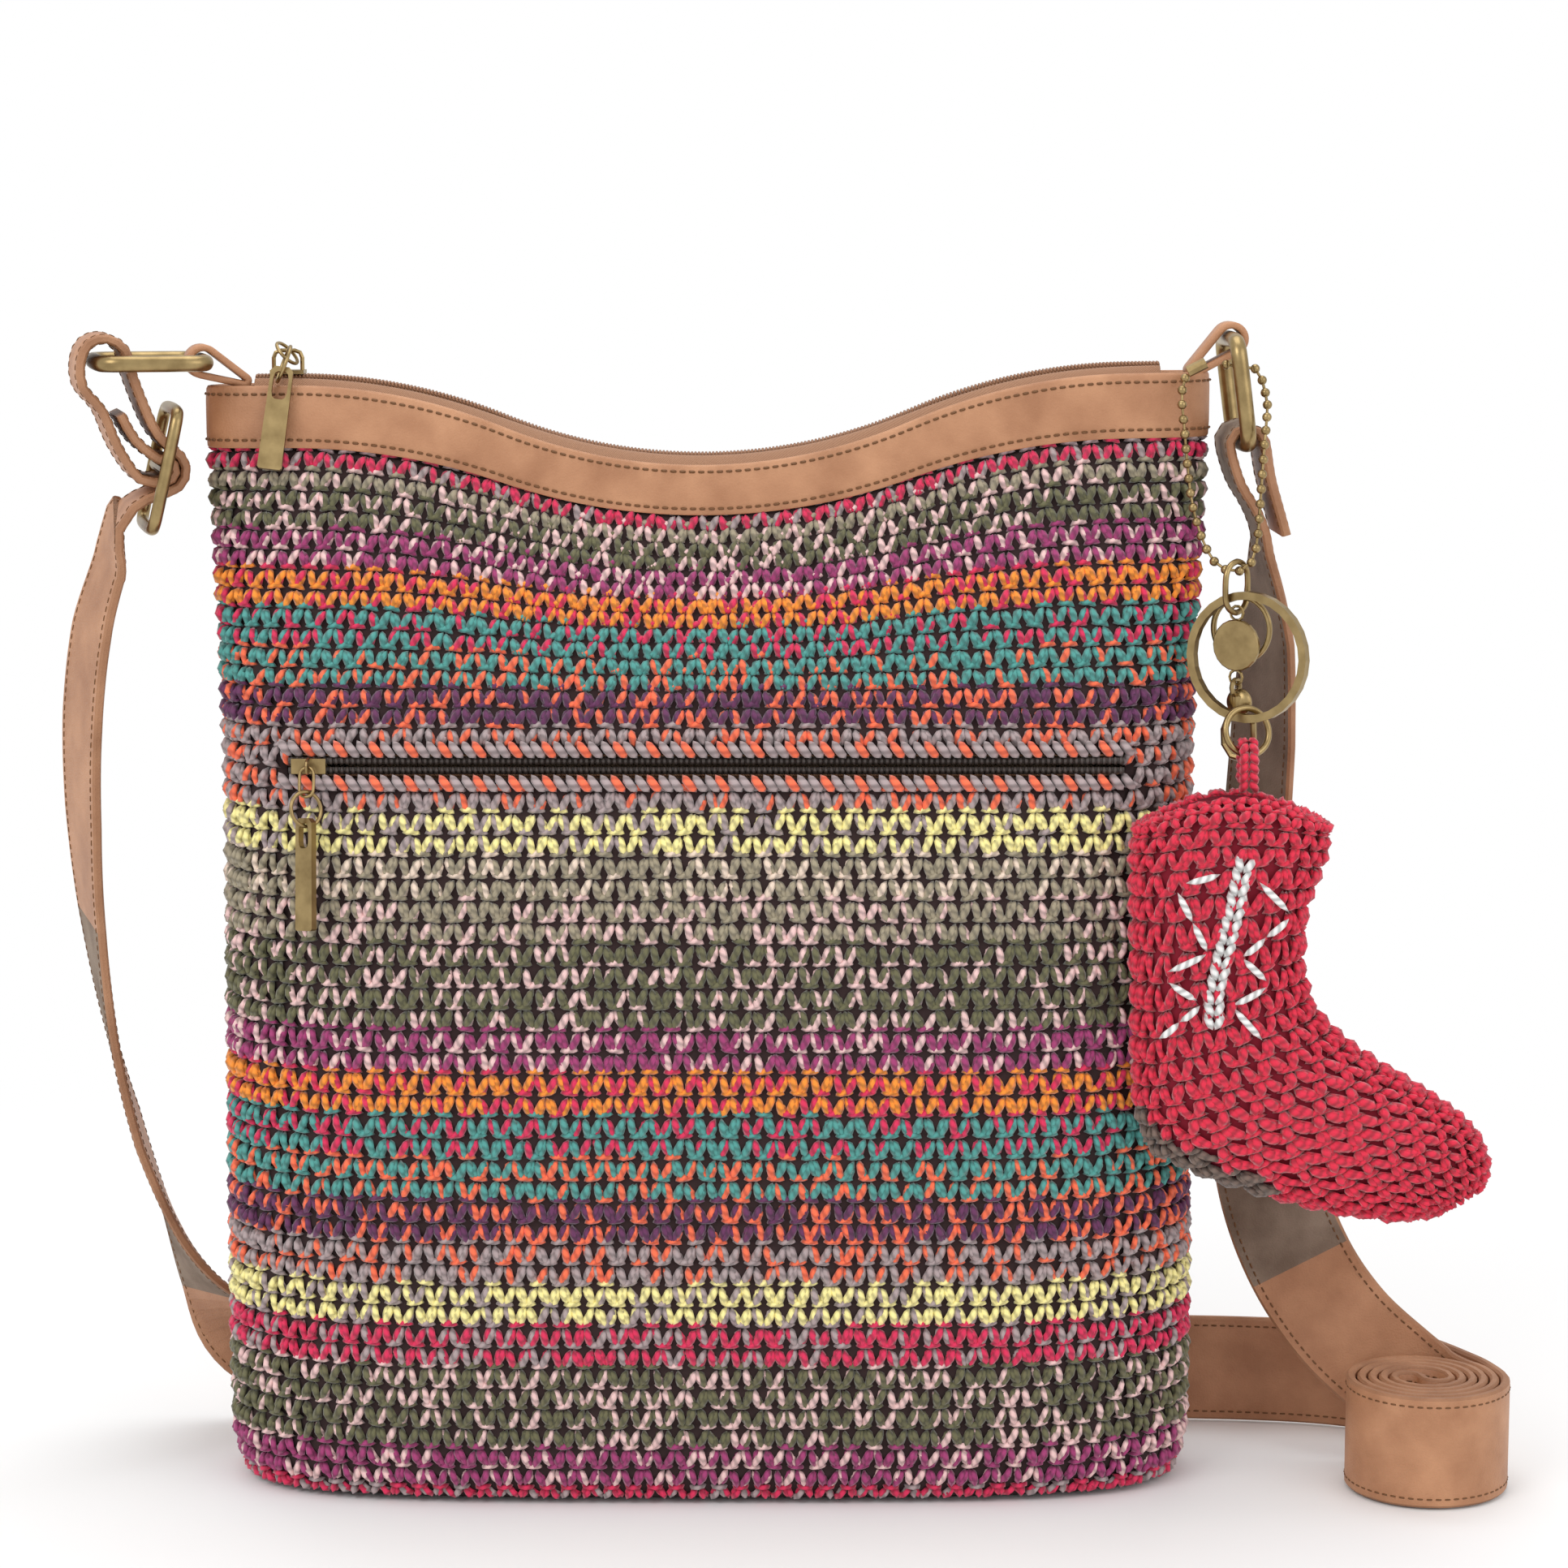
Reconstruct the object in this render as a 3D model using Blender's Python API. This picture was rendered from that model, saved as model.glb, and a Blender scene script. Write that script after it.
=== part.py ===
"""Striped crochet crossbody bag: leather band, two zips, a rolled strap on metal rings and a boot charm."""

import math

import bmesh
import bpy
from mathutils import Matrix, Vector

MM = 0.001
GAP = 0.3 * MM

# Crocheted body. A height is the one a row has at the bag's ends, before the mouth sags.
BODY_HEIGHT = 299 * MM
ROW_DEPTH = 1.0 * MM
BODY_WALL = 4.0 * MM
COLLAR_HEIGHT = 12 * MM
COLLAR_INSET = 2.6 * MM

# The profiles below are drawn for a body of this height, in millimetres, and are stretched to the real one.
DRAWN_HEIGHT = 299
WIDTH_PROFILE = (
    (0, 133), (6, 136.5), (16, 138.5), (60, 138.5), (200, 137), (240, 138), (299, 140.5), (320, 140.5),
)
FRONT_PROFILE = (
    (0, 33), (6, 37.5), (16, 40), (45, 43), (90, 44.5), (150, 43), (211, 36.5), (260, 23.5), (299, 12.5), (320, 11),
)
BACK_PROFILE = (
    (0, 32), (6, 35), (16, 36.5), (45, 38), (90, 40), (150, 40), (211, 35), (260, 23.5), (299, 12.5), (320, 11),
)
END_POWER = ((0, 4.5), (60, 4.5), (150, 6), (211, 8), (299, 16), (320, 18))
SIDE_POWER = ((0, 2.4), (211, 2.4), (299, 2.0), (320, 2.0))
QUARTER = (1.0, 0.985, 0.92, 0.80, 0.64, 0.45, 0.23)

# The mouth dips in the middle along two arcs on each side.
MOUTH_SAG = 23.7 * MM
DIP_END = 118 * MM
DIP_TURN = 57 * MM
SAG_START = 225 * MM
ROW_SAG = 20 * MM
RIGHT_LIFT = 1.6 * MM

# Leather band round the mouth
BAND_HEIGHT = 17.6 * MM
BAND_WALL = 1.8 * MM
BAND_STAND = 0.8 * MM

# Lining and pocket pouch
LINING_WALL = 0.8 * MM
LINING_FRONT = 20.5 * MM
POUCH_FRONT = 29.6 * MM
POUCH_BACK = 22.6 * MM
POUCH_HALF_WIDTH = 100 * MM
POUCH_BOTTOM = 92 * MM

# Main zip
COIL_RADIUS = 1.05 * MM
COIL_OFFSET = 1.6 * MM
COIL_LIFT = 1.9 * MM
ZIP_HALF_LENGTH = 127 * MM
TAPE_WALL = 0.7 * MM
SLIDER_LENGTH = 9.5 * MM
SLIDER_HALF_WIDTH = 3.6 * MM
SLIDER_PLATE = 1.1 * MM
SLIDER_BLADE = 0.5 * MM
BAIL_WIRE = 0.65 * MM
BAIL_HEIGHT = 5.4 * MM
LINK_WIRE = 0.6 * MM
UPPER_LINK_RADIUS = 3.9 * MM
LOWER_LINK_RADIUS = 5.4 * MM
TAB_LENGTH = 29 * MM
TAB_TOP_WIDTH = 6.2 * MM
TAB_BOTTOM_WIDTH = 6.8 * MM
TAB_THICKNESS = 2.0 * MM
TAB_LEAN = math.radians(7)
TAB_OUT = math.radians(14)

# Pocket zip, straight across the front
POCKET_HEIGHT = 211.5 * MM
POCKET_SLIT = 6.4 * MM
POCKET_HALF_LENGTH = 116 * MM
POCKET_RECESS = 3.3 * MM
POCKET_SLIDER_INSET = 6 * MM
POCKET_COIL_RADIUS = 0.9 * MM
POCKET_COIL_OFFSET = 1.35 * MM
POCKET_HANG_LEAN = math.radians(17)
POCKET_PULL_LEAN = math.radians(8)

# Rings, tabs, strap and buckle
STRAP_WIDTH = 32 * MM
STRAP_THICKNESS = 2.5 * MM
RING_WIRE = 2.5 * MM
RING_LENGTH = 29.5 * MM
RING_BREADTH = 39.5 * MM
RING_CORNER = 5.5 * MM
TAB_LOOP_WIDTH = 11 * MM
TAB_LEATHER = 1.9 * MM
LEFT_YAW = math.radians(14)
RIGHT_TILT = math.radians(7.5)
BUCKLE_LENGTH = 34 * MM
BUCKLE_BREADTH = 39.5 * MM
BUCKLE_WIRE = 2.1 * MM
BUCKLE_TILT = math.radians(13)
BAR_RADIUS = 1.5 * MM
ROLL_CENTRE = (205 * MM, -18 * MM)
ROLL_RADIUS = 23.7 * MM
ROLL_PITCH = 6.2 * MM
ROLL_TURNS = 2.5
ROLL_STEPS = 14

# Charm
BEAD_RADIUS = 1.25 * MM
BEAD_PITCH = 4.1 * MM
CHAIN_WIRE = 0.42 * MM
OVAL_WIRE = 1.0 * MM
OVAL_HEIGHT = 14.2 * MM
OVAL_BREADTH = 9.8 * MM
KEY_RING_RADIUS = 17.1 * MM
KEY_RING_BAND = 2.2 * MM
KEY_RING_THICKNESS = 2.6 * MM
INNER_RING_RADIUS = 9.0 * MM
INNER_RING_WIRE = 1.0 * MM
MEDALLION_RADIUS = 7.2 * MM
MEDALLION_THICKNESS = 1.4 * MM
HOOK_COLLAR_RADIUS = 2.3 * MM
HOOK_WIRE = 1.1 * MM
CHARM_RING_RADIUS = 6.7 * MM
CHARM_RING_WIRE = 1.1 * MM
BOOT_THICKNESS = 27 * MM

STRIPES = (
    ("crimson_mauve", 1), ("taupe_pink", 1), ("olive_pink", 2), ("purple_pink", 2), ("orange_crimson", 2),
    ("teal_crimson", 2), ("teal_coral", 2), ("plum_coral", 2), ("mauve_coral", 2),
    ("mauve_coral", 2), ("yellow_mauve", 2), ("taupe_cream", 2), ("taupe_pink", 2), ("olive_pink", 4),
    ("purple_pink", 2), ("orange_crimson", 2), ("teal_crimson", 2), ("teal_coral", 2), ("plum_coral", 2),
    ("mauve_coral", 2), ("yellow_mauve", 2), ("crimson_mauve", 2), ("olive_pink", 4), ("purple_pink", 2),
    ("crimson_mauve", 1),
)
ROWS_ABOVE_POCKET = 16
YARNS = {
    "crimson_mauve": (0.50, 0.07, 0.13), "taupe_pink": (0.33, 0.25, 0.20), "olive_pink": (0.14, 0.13, 0.07),
    "purple_pink": (0.26, 0.05, 0.14), "orange_crimson": (0.70, 0.18, 0.04), "teal_crimson": (0.12, 0.24, 0.22),
    "teal_coral": (0.15, 0.26, 0.24), "plum_coral": (0.22, 0.04, 0.07), "mauve_coral": (0.42, 0.24, 0.22),
    "yellow_mauve": (0.72, 0.68, 0.36), "taupe_cream": (0.42, 0.34, 0.27),
}


def clear_scene():
    for obj in list(bpy.data.objects):
        bpy.data.objects.remove(obj, do_unlink=True)


def new_collection(name):
    collection = bpy.data.collections.new(name)
    bpy.context.scene.collection.children.link(collection)
    return collection


def new_material(name, colour, roughness, metallic=0.0):
    material = bpy.data.materials.new(name)
    material.use_nodes = True
    shader = material.node_tree.nodes["Principled BSDF"]
    shader.inputs["Base Color"].default_value = (*colour, 1)
    shader.inputs["Roughness"].default_value = roughness
    shader.inputs["Metallic"].default_value = metallic
    return material


def add_object(name, data, materials):
    obj = bpy.data.objects.new(name, data)
    PARTS.objects.link(obj)
    for material in materials:
        data.materials.append(material)
    return obj


def finish_mesh(name, mesh_data, materials, smooth=True):
    bmesh.ops.recalc_face_normals(mesh_data, faces=mesh_data.faces)
    mesh = bpy.data.meshes.new(name)
    mesh_data.to_mesh(mesh)
    mesh_data.free()
    if smooth:
        mesh.shade_smooth()
        mesh.set_sharp_from_angle(angle=math.radians(40))
    return add_object(name, mesh, materials)


def loft(name, rings, materials, slots=None, cyclic=False):
    """One closed skin through rings of equally many points, capped at both ends unless cyclic."""
    mesh_data = bmesh.new()
    loops = [[mesh_data.verts.new(point) for point in ring] for ring in rings]
    if cyclic:
        loops.append(loops[0])
    for level, (low, high) in enumerate(zip(loops, loops[1:])):
        for i in range(len(low)):
            j = (i + 1) % len(low)
            face = mesh_data.faces.new((low[i], low[j], high[j], high[i]))
            if slots:
                face.material_index = slots[level]
    if not cyclic:
        mesh_data.faces.new(loops[0])
        mesh_data.faces.new(loops[-1])
    return finish_mesh(name, mesh_data, materials)


def wire(name, points, radius, material, cyclic=True, sides=2):
    """A round wire through the points."""
    data = bpy.data.curves.new(name, "CURVE")
    data.dimensions = "3D"
    data.bevel_depth = radius
    data.bevel_resolution = sides
    data.use_fill_caps = not cyclic
    spline = data.splines.new("POLY")
    spline.points.add(len(points) - 1)
    for target, point in zip(spline.points, points):
        target.co = (*point, 1)
    spline.use_cyclic_u = cyclic
    return add_object(name, data, [material])


def rounded_rectangle(centre, along, across, length, breadth, corner, steps=3):
    """Points round a rectangle with round corners, in the plane of two unit vectors."""
    points = []
    for quarter in range(4):
        sign_a = (1, -1, -1, 1)[quarter]
        sign_b = (1, 1, -1, -1)[quarter]
        for step in range(steps + 1):
            angle = math.pi / 2 * (quarter + step / steps)
            a = sign_a * (length / 2 - corner) + corner * math.cos(angle)
            b = sign_b * (breadth / 2 - corner) + corner * math.sin(angle)
            points.append(centre + along * a + across * b)
    return points


def circle(centre, along, across, radius, steps):
    turns = [2 * math.pi * step / steps for step in range(steps)]
    return [centre + along * (radius * math.cos(t)) + across * (radius * math.sin(t)) for t in turns]


def smooth_path(points, spacing):
    """Points at about even spacing on a smooth curve through the given ones."""
    fine = []
    for i in range(len(points) - 1):
        before = points[i - 1] if i else points[i] * 2 - points[i + 1]
        after = points[i + 2] if i + 2 < len(points) else points[i + 1] * 2 - points[i]
        start, end = points[i], points[i + 1]
        count = max(1, round((end - start).length / spacing))
        for step in range(count):
            t = step / count
            fine.append(
                0.5 * ((2 * start) + (end - before) * t + (2 * before - 5 * start + 4 * end - after) * t ** 2
                       + (3 * start - before - 3 * end + after) * t ** 3)
            )
    fine.append(points[-1])
    return fine


def strip(name, centres, across, breadth, thickness, material, cyclic=False):
    """A flat strip along the centres, whose breadth runs along the across vectors."""
    sections = []
    count = len(centres)
    for i, centre in enumerate(centres):
        ahead = centres[(i + 1) % count] if cyclic else centres[min(i + 1, count - 1)]
        behind = centres[i - 1] if cyclic else centres[max(i - 1, 0)]
        tangent = (ahead - behind).normalized()
        side = across[i] if isinstance(across, list) else across
        side = (side - tangent * side.dot(tangent)).normalized()
        normal = tangent.cross(side)
        half_side = side * (breadth / 2)
        half_normal = normal * (thickness / 2)
        sections.append([centre + half_side + half_normal, centre - half_side + half_normal,
                         centre - half_side - half_normal, centre + half_side - half_normal])
    return loft(name, sections, [material], cyclic=cyclic)


def box_mesh(low, high):
    mesh_data = bmesh.new()
    bmesh.ops.create_cube(mesh_data, size=1)
    centre = [(a + b) / 2 for a, b in zip(low, high)]
    size = [b - a for a, b in zip(low, high)]
    bmesh.ops.scale(mesh_data, vec=size, verts=mesh_data.verts)
    bmesh.ops.translate(mesh_data, vec=centre, verts=mesh_data.verts)
    return mesh_data


def cutter(name, mesh_data):
    obj = finish_mesh(name, mesh_data, [], smooth=False)
    PARTS.objects.unlink(obj)
    CUTTERS.objects.link(obj)
    obj.hide_render = True
    obj.display_type = "WIRE"
    return obj


def boolean(target, other, operation):
    modifier = target.modifiers.new(operation.title(), "BOOLEAN")
    modifier.object = other
    modifier.operation = operation
    return modifier


# Shape of the bag


def profile(table, height):
    """A value read from one of the profiles, at a height in metres."""
    h = height / BODY_HEIGHT * DRAWN_HEIGHT
    for (h0, v0), (h1, v1) in zip(table, table[1:]):
        if h <= h1:
            return v0 + (v1 - v0) * max(0.0, h - h0) / (h1 - h0)
    return table[-1][1]


def dip_arcs():
    slope = 2 * math.atan(MOUTH_SAG / DIP_END)
    outer = (DIP_END - DIP_TURN) / math.sin(slope)
    inner = DIP_TURN / math.sin(slope)
    return slope, outer, inner


def dip(x):
    """How far the mouth has dropped at x, as a share of its whole sag."""
    _, outer, inner = dip_arcs()
    reach = abs(x)
    if reach >= DIP_END:
        return 0.0
    if reach >= DIP_TURN:
        return (outer - math.sqrt(outer ** 2 - (DIP_END - reach) ** 2)) / MOUTH_SAG
    return 1 - (inner - math.sqrt(inner ** 2 - reach ** 2)) / MOUTH_SAG


def sag(height):
    if height <= SAG_START:
        return 0.0
    if height <= BODY_HEIGHT:
        return ROW_SAG * ((height - SAG_START) / (BODY_HEIGHT - SAG_START)) ** 1.25
    return ROW_SAG + (MOUTH_SAG - ROW_SAG) * (height - BODY_HEIGHT) / BAND_HEIGHT


def lift(x, height):
    return RIGHT_LIFT * max(0.0, height - SAG_START) / (BODY_HEIGHT - SAG_START) * x / (profile(WIDTH_PROFILE, height) * MM)


def depth_share(share, height):
    """How much of the bag's depth is left at a share of its half width."""
    return max(0.0, 1 - share ** profile(END_POWER, height)) ** (1 / profile(SIDE_POWER, height))


def plan_ring(height, inset, front_limit=None):
    """Points round the bag, from its right end over the back, the left end and the front."""
    half_width = profile(WIDTH_PROFILE, height) * MM - inset
    front = profile(FRONT_PROFILE, height) * MM - inset
    back = profile(BACK_PROFILE, height) * MM - inset
    if front_limit:
        front = min(front, front_limit)
    half = [(share, depth_share(share, height)) for share in QUARTER] + [(0.0, 1.0)]
    half += [(-share, depth) for share, depth in half[-2:0:-1]]
    plan = [(share, back * depth) for share, depth in half]
    plan += [(-share, -front * depth) for share, depth in half]
    ring = []
    for share, y in plan:
        x = half_width * share
        ring.append(Vector((x, y, height - sag(height) * dip(x) + lift(x, height))))
    return ring


def wall_y(x, height, inset):
    """The front wall's y at x."""
    half_width = profile(WIDTH_PROFILE, height) * MM - inset
    front = profile(FRONT_PROFILE, height) * MM - inset
    return -front * depth_share(abs(x) / half_width, height)


def row_heights():
    """Heights of the edges of the rows, from the top row down, with the stripe of each row."""
    names = [name for name, count in STRIPES for _ in range(count)]
    upper = (BODY_HEIGHT - POCKET_HEIGHT) / ROWS_ABOVE_POCKET
    lower = POCKET_HEIGHT / (len(names) - ROWS_ABOVE_POCKET)
    edges = [BODY_HEIGHT - upper * i for i in range(ROWS_ABOVE_POCKET)]
    edges += [POCKET_HEIGHT - lower * i for i in range(len(names) - ROWS_ABOVE_POCKET + 1)]
    return edges, names


INNER_HEIGHTS = [POCKET_HEIGHT + (BODY_HEIGHT - POCKET_HEIGHT) * share for share in (1, 0.67, 0.33, 0)]
INNER_HEIGHTS += [POCKET_HEIGHT * share for share in (0.71, 0.43, 0.19, 0.066)]


def make_body():
    edges, names = row_heights()
    yarn_names = list(YARNS)
    rings, slots = [], []
    for (low, high), name in zip(reversed(list(zip(edges[1:], edges))), reversed(names)):
        rings.append(plan_ring(max(low, 0.0), ROW_DEPTH))
        rings.append(plan_ring((low + high) / 2, 0))
        slots += [yarn_names.index(name)] * 2
    rings.append(plan_ring(BODY_HEIGHT, ROW_DEPTH))
    rings.append(plan_ring(BODY_HEIGHT + 0.01 * MM, COLLAR_INSET))
    rings.append(plan_ring(BODY_HEIGHT + COLLAR_HEIGHT, COLLAR_INSET))
    rings.append(plan_ring(BODY_HEIGHT + COLLAR_HEIGHT, BODY_WALL))
    rings += [plan_ring(height, BODY_WALL) for height in INNER_HEIGHTS]
    rings.append(plan_ring(BODY_WALL, BODY_WALL + 1 * MM))
    slots += [slots[-1]] * (len(rings) - len(slots))
    body = loft("crochet_body", rings, [MATERIALS[name] for name in yarn_names], slots)
    half = POCKET_SLIT / 2
    slit = cutter("pocket_slit", box_mesh((-POCKET_HALF_LENGTH, -60 * MM, POCKET_HEIGHT - half),
                                          (POCKET_HALF_LENGTH, -10 * MM, POCKET_HEIGHT + half)))
    boolean(body, slit, "DIFFERENCE")


def make_lining():
    outside = BODY_WALL + 1.5 * MM
    inside = outside + LINING_WALL
    heights = [BODY_WALL + 1.0 * MM] + list(reversed(INNER_HEIGHTS)) + [BODY_HEIGHT + COLLAR_HEIGHT - 0.2 * MM]
    rings = [plan_ring(height, outside + (1 * MM if i == 0 else 0), LINING_FRONT) for i, height in enumerate(heights)]
    heights[0] += LINING_WALL
    limit = LINING_FRONT - LINING_WALL
    rings += [plan_ring(height, inside + (1 * MM if height == heights[0] else 0), limit) for height in reversed(heights)]
    loft("lining_bag", rings, [MATERIALS["lining"]])


def make_band():
    base = BODY_HEIGHT + 0.01 * MM + GAP
    top = base + BAND_HEIGHT
    edge = 0.6 * MM
    rings = [
        plan_ring(base, -BAND_STAND), plan_ring(top - edge, -BAND_STAND), plan_ring(top, -BAND_STAND + edge),
        plan_ring(top, -BAND_STAND + BAND_WALL), plan_ring(base, -BAND_STAND + BAND_WALL),
    ]
    loft("top_band", rings, [MATERIALS["leather"]], cyclic=True)
    return top


def mouth_z(x):
    """Height of the main zip's coil axis at x."""
    height = BODY_HEIGHT + BAND_HEIGHT
    return height + COIL_LIFT - MOUTH_SAG * dip(x) + lift(x, height)


def zip_stations(half_length, count):
    return [-half_length + 2 * half_length * i / (count - 1) for i in range(count)]


def make_main_zip():
    stations = zip_stations(ZIP_HALF_LENGTH, 17)
    for side, sign in (("front", -1), ("back", 1)):
        points = [Vector((x, sign * COIL_OFFSET, mouth_z(x))) for x in stations]
        wire(f"main_coil_{side}", points, COIL_RADIUS, MATERIALS["coil"], cyclic=False, sides=1)
        sections = []
        inner = COIL_OFFSET + COIL_RADIUS + GAP
        seat = BODY_HEIGHT + COLLAR_HEIGHT + 2.2 * MM
        for x in stations:
            reach = -wall_y(x, seat, BAND_WALL - BAND_STAND) - 5 * GAP
            low = seat - sag(seat) * dip(x) + lift(x, seat)
            top = mouth_z(x)
            half = TAPE_WALL / 2
            fold = SLIDER_HALF_WIDTH + GAP
            sections.append([
                Vector((x, sign * inner, top + half)), Vector((x, sign * inner, top - half)),
                Vector((x, sign * fold, top - half)), Vector((x, sign * reach, low - half)),
                Vector((x, sign * reach, low + half)), Vector((x, sign * fold, top + half)),
            ])
        loft(f"main_tape_{side}", sections, [MATERIALS["tape"]])


def tube(points, side, radius, sides=6):
    """A bent rod along points that lie in one plane, whose normal is side."""
    mesh_data = bmesh.new()
    loops = []
    for i, point in enumerate(points):
        tangent = (points[min(i + 1, len(points) - 1)] - points[max(i - 1, 0)]).normalized()
        ring = circle(point, side, tangent.cross(side), radius, sides)
        loops.append([mesh_data.verts.new(p) for p in ring])
    for low, high in zip(loops, loops[1:]):
        for i in range(sides):
            mesh_data.faces.new((low[i], low[(i + 1) % sides], high[(i + 1) % sides], high[i]))
    mesh_data.faces.new(loops[0])
    mesh_data.faces.new(loops[-1])
    return mesh_data


def slider_body(name, centre, along, out, coil_radius, half_width):
    """Two plates joined by the blade between the coils, with the coils' axis through the centre."""
    side = along.cross(out)
    turn = Matrix((along, side, out)).transposed().to_4x4()
    clear = coil_radius + GAP
    half = SLIDER_LENGTH / 2
    shapes = [
        ((-half, -half_width, clear), (half, half_width, clear + SLIDER_PLATE)),
        ((-half, -half_width, -clear - SLIDER_PLATE), (half, half_width, -clear)),
        ((-half + 1 * MM, -SLIDER_BLADE / 2, -clear - 0.2 * MM), (half - 1 * MM, SLIDER_BLADE / 2, clear + 0.2 * MM)),
    ]
    objects = []
    for i, (low, high) in enumerate(shapes):
        mesh_data = box_mesh(low, high)
        bmesh.ops.transform(mesh_data, matrix=Matrix.Translation(centre) @ turn, verts=mesh_data.verts)
        piece_name = name if i == 0 else f"{name}_piece_{i}"
        objects.append(finish_mesh(piece_name, mesh_data, [MATERIALS["brass"]], False) if i == 0
                       else cutter(piece_name, mesh_data))
    for other in objects[1:]:
        boolean(objects[0], other, "UNION")
    return objects[0], side


def make_bail(slider, base, along, out, span, height, radius):
    """An arch of wire on the slider, joined to it."""
    corner = min(2 * MM, span / 2 - 0.5 * MM)
    points = [base - along * (span / 2) - out * (0.4 * MM)]
    for sign in (-1, 1):
        turns = [0, math.pi / 4, math.pi / 2]
        for t in turns if sign < 0 else turns[::-1]:
            reach = span / 2 - corner + corner * math.cos(t)
            points.append(base + along * (sign * reach) + out * (height - corner + corner * math.sin(t)))
    points.append(base + along * (span / 2) - out * (0.4 * MM))
    boolean(slider, cutter(slider.name + "_bail", tube(points, along.cross(out), radius)), "UNION")


def link_frame(pull, degrees):
    """A plane that holds the pull direction, turned about it from X."""
    turn = math.radians(degrees)
    sideways = Vector((1, 0, 0))
    return pull, sideways * math.cos(turn) + pull.cross(sideways) * math.sin(turn)


def pull_tab(name, top, down, across, hole_length, hole_breadth, length, top_width, bottom_width, thickness):
    """A tapering plate with round ends and a long hole near its top, which is a separate cut."""
    out = across.cross(down)
    turn = Matrix((across, out, down)).transposed().to_4x4()
    place = Matrix.Translation(top) @ turn

    def outline(points):
        mesh_data = bmesh.new()
        verts = [mesh_data.verts.new((x, -thickness, z)) for x, z in points]
        face = mesh_data.faces.new(verts)
        moved = bmesh.ops.extrude_face_region(mesh_data, geom=[face])["geom"]
        bmesh.ops.translate(mesh_data, vec=(0, 2 * thickness, 0),
                            verts=[v for v in moved if isinstance(v, bmesh.types.BMVert)])
        return mesh_data

    chamfer = 1.2 * MM
    half_top, half_bottom = top_width / 2, bottom_width / 2
    plate = outline([
        (-half_top + chamfer, 0), (half_top - chamfer, 0), (half_top, chamfer), (half_bottom, length - 0.5 * MM),
        (half_bottom - 0.5 * MM, length), (-half_bottom + 0.5 * MM, length), (-half_bottom, length - 0.5 * MM),
        (-half_top, chamfer),
    ])
    bmesh.ops.scale(plate, vec=(1, 0.5, 1), verts=plate.verts)
    bmesh.ops.transform(plate, matrix=place, verts=plate.verts)
    tab = finish_mesh(name, plate, [MATERIALS["brass"]], False)
    rim = 1.35 * MM
    centre_z = rim + hole_length / 2
    corners = []
    for t in [2 * math.pi * (i + 0.5) / 12 for i in range(12)]:
        x, z = [math.copysign(abs(v) ** 0.55, v) for v in (math.sin(t), math.cos(t))]
        corners.append((hole_breadth / 2 * x, centre_z - hole_length / 2 * z))
    hole = outline(corners)
    bmesh.ops.transform(hole, matrix=place, verts=hole.verts)
    boolean(tab, cutter(name + "_hole", hole), "DIFFERENCE")
    return tab


def make_main_pull():
    _, outer, _ = dip_arcs()
    x = -DIP_END
    centre = Vector((x, 0, mouth_z(x)))
    along, out = Vector((1, 0, 0)), Vector((0, 0, 1))
    slider, _ = slider_body("main_slider", centre, along, out, COIL_RADIUS, SLIDER_HALF_WIDTH)
    plate_top = centre + out * (COIL_RADIUS + GAP + SLIDER_PLATE)
    make_bail(slider, plate_top, along, out, 8 * MM, BAIL_HEIGHT, BAIL_WIRE)
    bar = plate_top + out * BAIL_HEIGHT
    pull_a = Vector((0, -0.95, -0.31)).normalized()
    pull_b = Vector((0, -0.91, -0.41)).normalized()
    slack = 0.35 * MM
    reach = UPPER_LINK_RADIUS - LINK_WIRE - BAIL_WIRE - slack
    centre_a = bar + pull_a * reach
    wire("main_link_upper", circle(centre_a, *link_frame(pull_a, 135), UPPER_LINK_RADIUS, 16), LINK_WIRE,
         MATERIALS["brass"], sides=1)
    front_a = centre_a + pull_a * UPPER_LINK_RADIUS
    centre_b = front_a + pull_b * (LOWER_LINK_RADIUS - 2 * LINK_WIRE - slack)
    wire("main_link_lower", circle(centre_b, *link_frame(pull_b, 66), LOWER_LINK_RADIUS, 16), LINK_WIRE,
         MATERIALS["brass"], sides=1)
    front_b = centre_b + pull_b * LOWER_LINK_RADIUS
    rim_half = 0.68 * MM
    grip = front_b - pull_b * (LINK_WIRE + rim_half + 2 * slack)
    down = Vector((-math.sin(TAB_LEAN), -math.sin(TAB_OUT), -math.cos(TAB_LEAN))).normalized()
    across = Vector((math.cos(TAB_LEAN), 0, -math.sin(TAB_LEAN)))
    across = (across - down * across.dot(down)).normalized()
    pull_tab("main_pull_tab", grip - down * rim_half, down, across, 8 * MM, 4.4 * MM, TAB_LENGTH,
             TAB_TOP_WIDTH, TAB_BOTTOM_WIDTH, TAB_THICKNESS)
    return {"bar": bar, "front_a": front_a, "grip": grip, "arc_centre": Vector((x, 0, mouth_z(x) - outer))}


# Pocket


def make_pouch():
    count = 9
    rings = []

    def section(low, inset):
        front, back = POUCH_FRONT - inset, POUCH_BACK + inset
        half = POUCH_HALF_WIDTH - inset
        shape = profile(FRONT_PROFILE, POCKET_HEIGHT) * MM - BODY_WALL
        points = []
        for edge, top in ((front, POCKET_HEIGHT - 4.2 * MM), (back, POCKET_HEIGHT + 4.5 * MM)):
            row = []
            for i in range(count):
                x = -half + 2 * half * i / (count - 1)
                bow = wall_y(x, POCKET_HEIGHT, BODY_WALL) + shape
                row.append(Vector((x, -edge + bow, top if low is None else low)))
            points += row if edge == front else row[::-1]
        return points

    rings.append(section(POUCH_BOTTOM, 0))
    rings.append(section(None, 0))
    rings.append(section(None, LINING_WALL))
    rings.append(section(POUCH_BOTTOM + LINING_WALL, LINING_WALL))
    loft("pocket_pouch", rings, [MATERIALS["lining"]])


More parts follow.
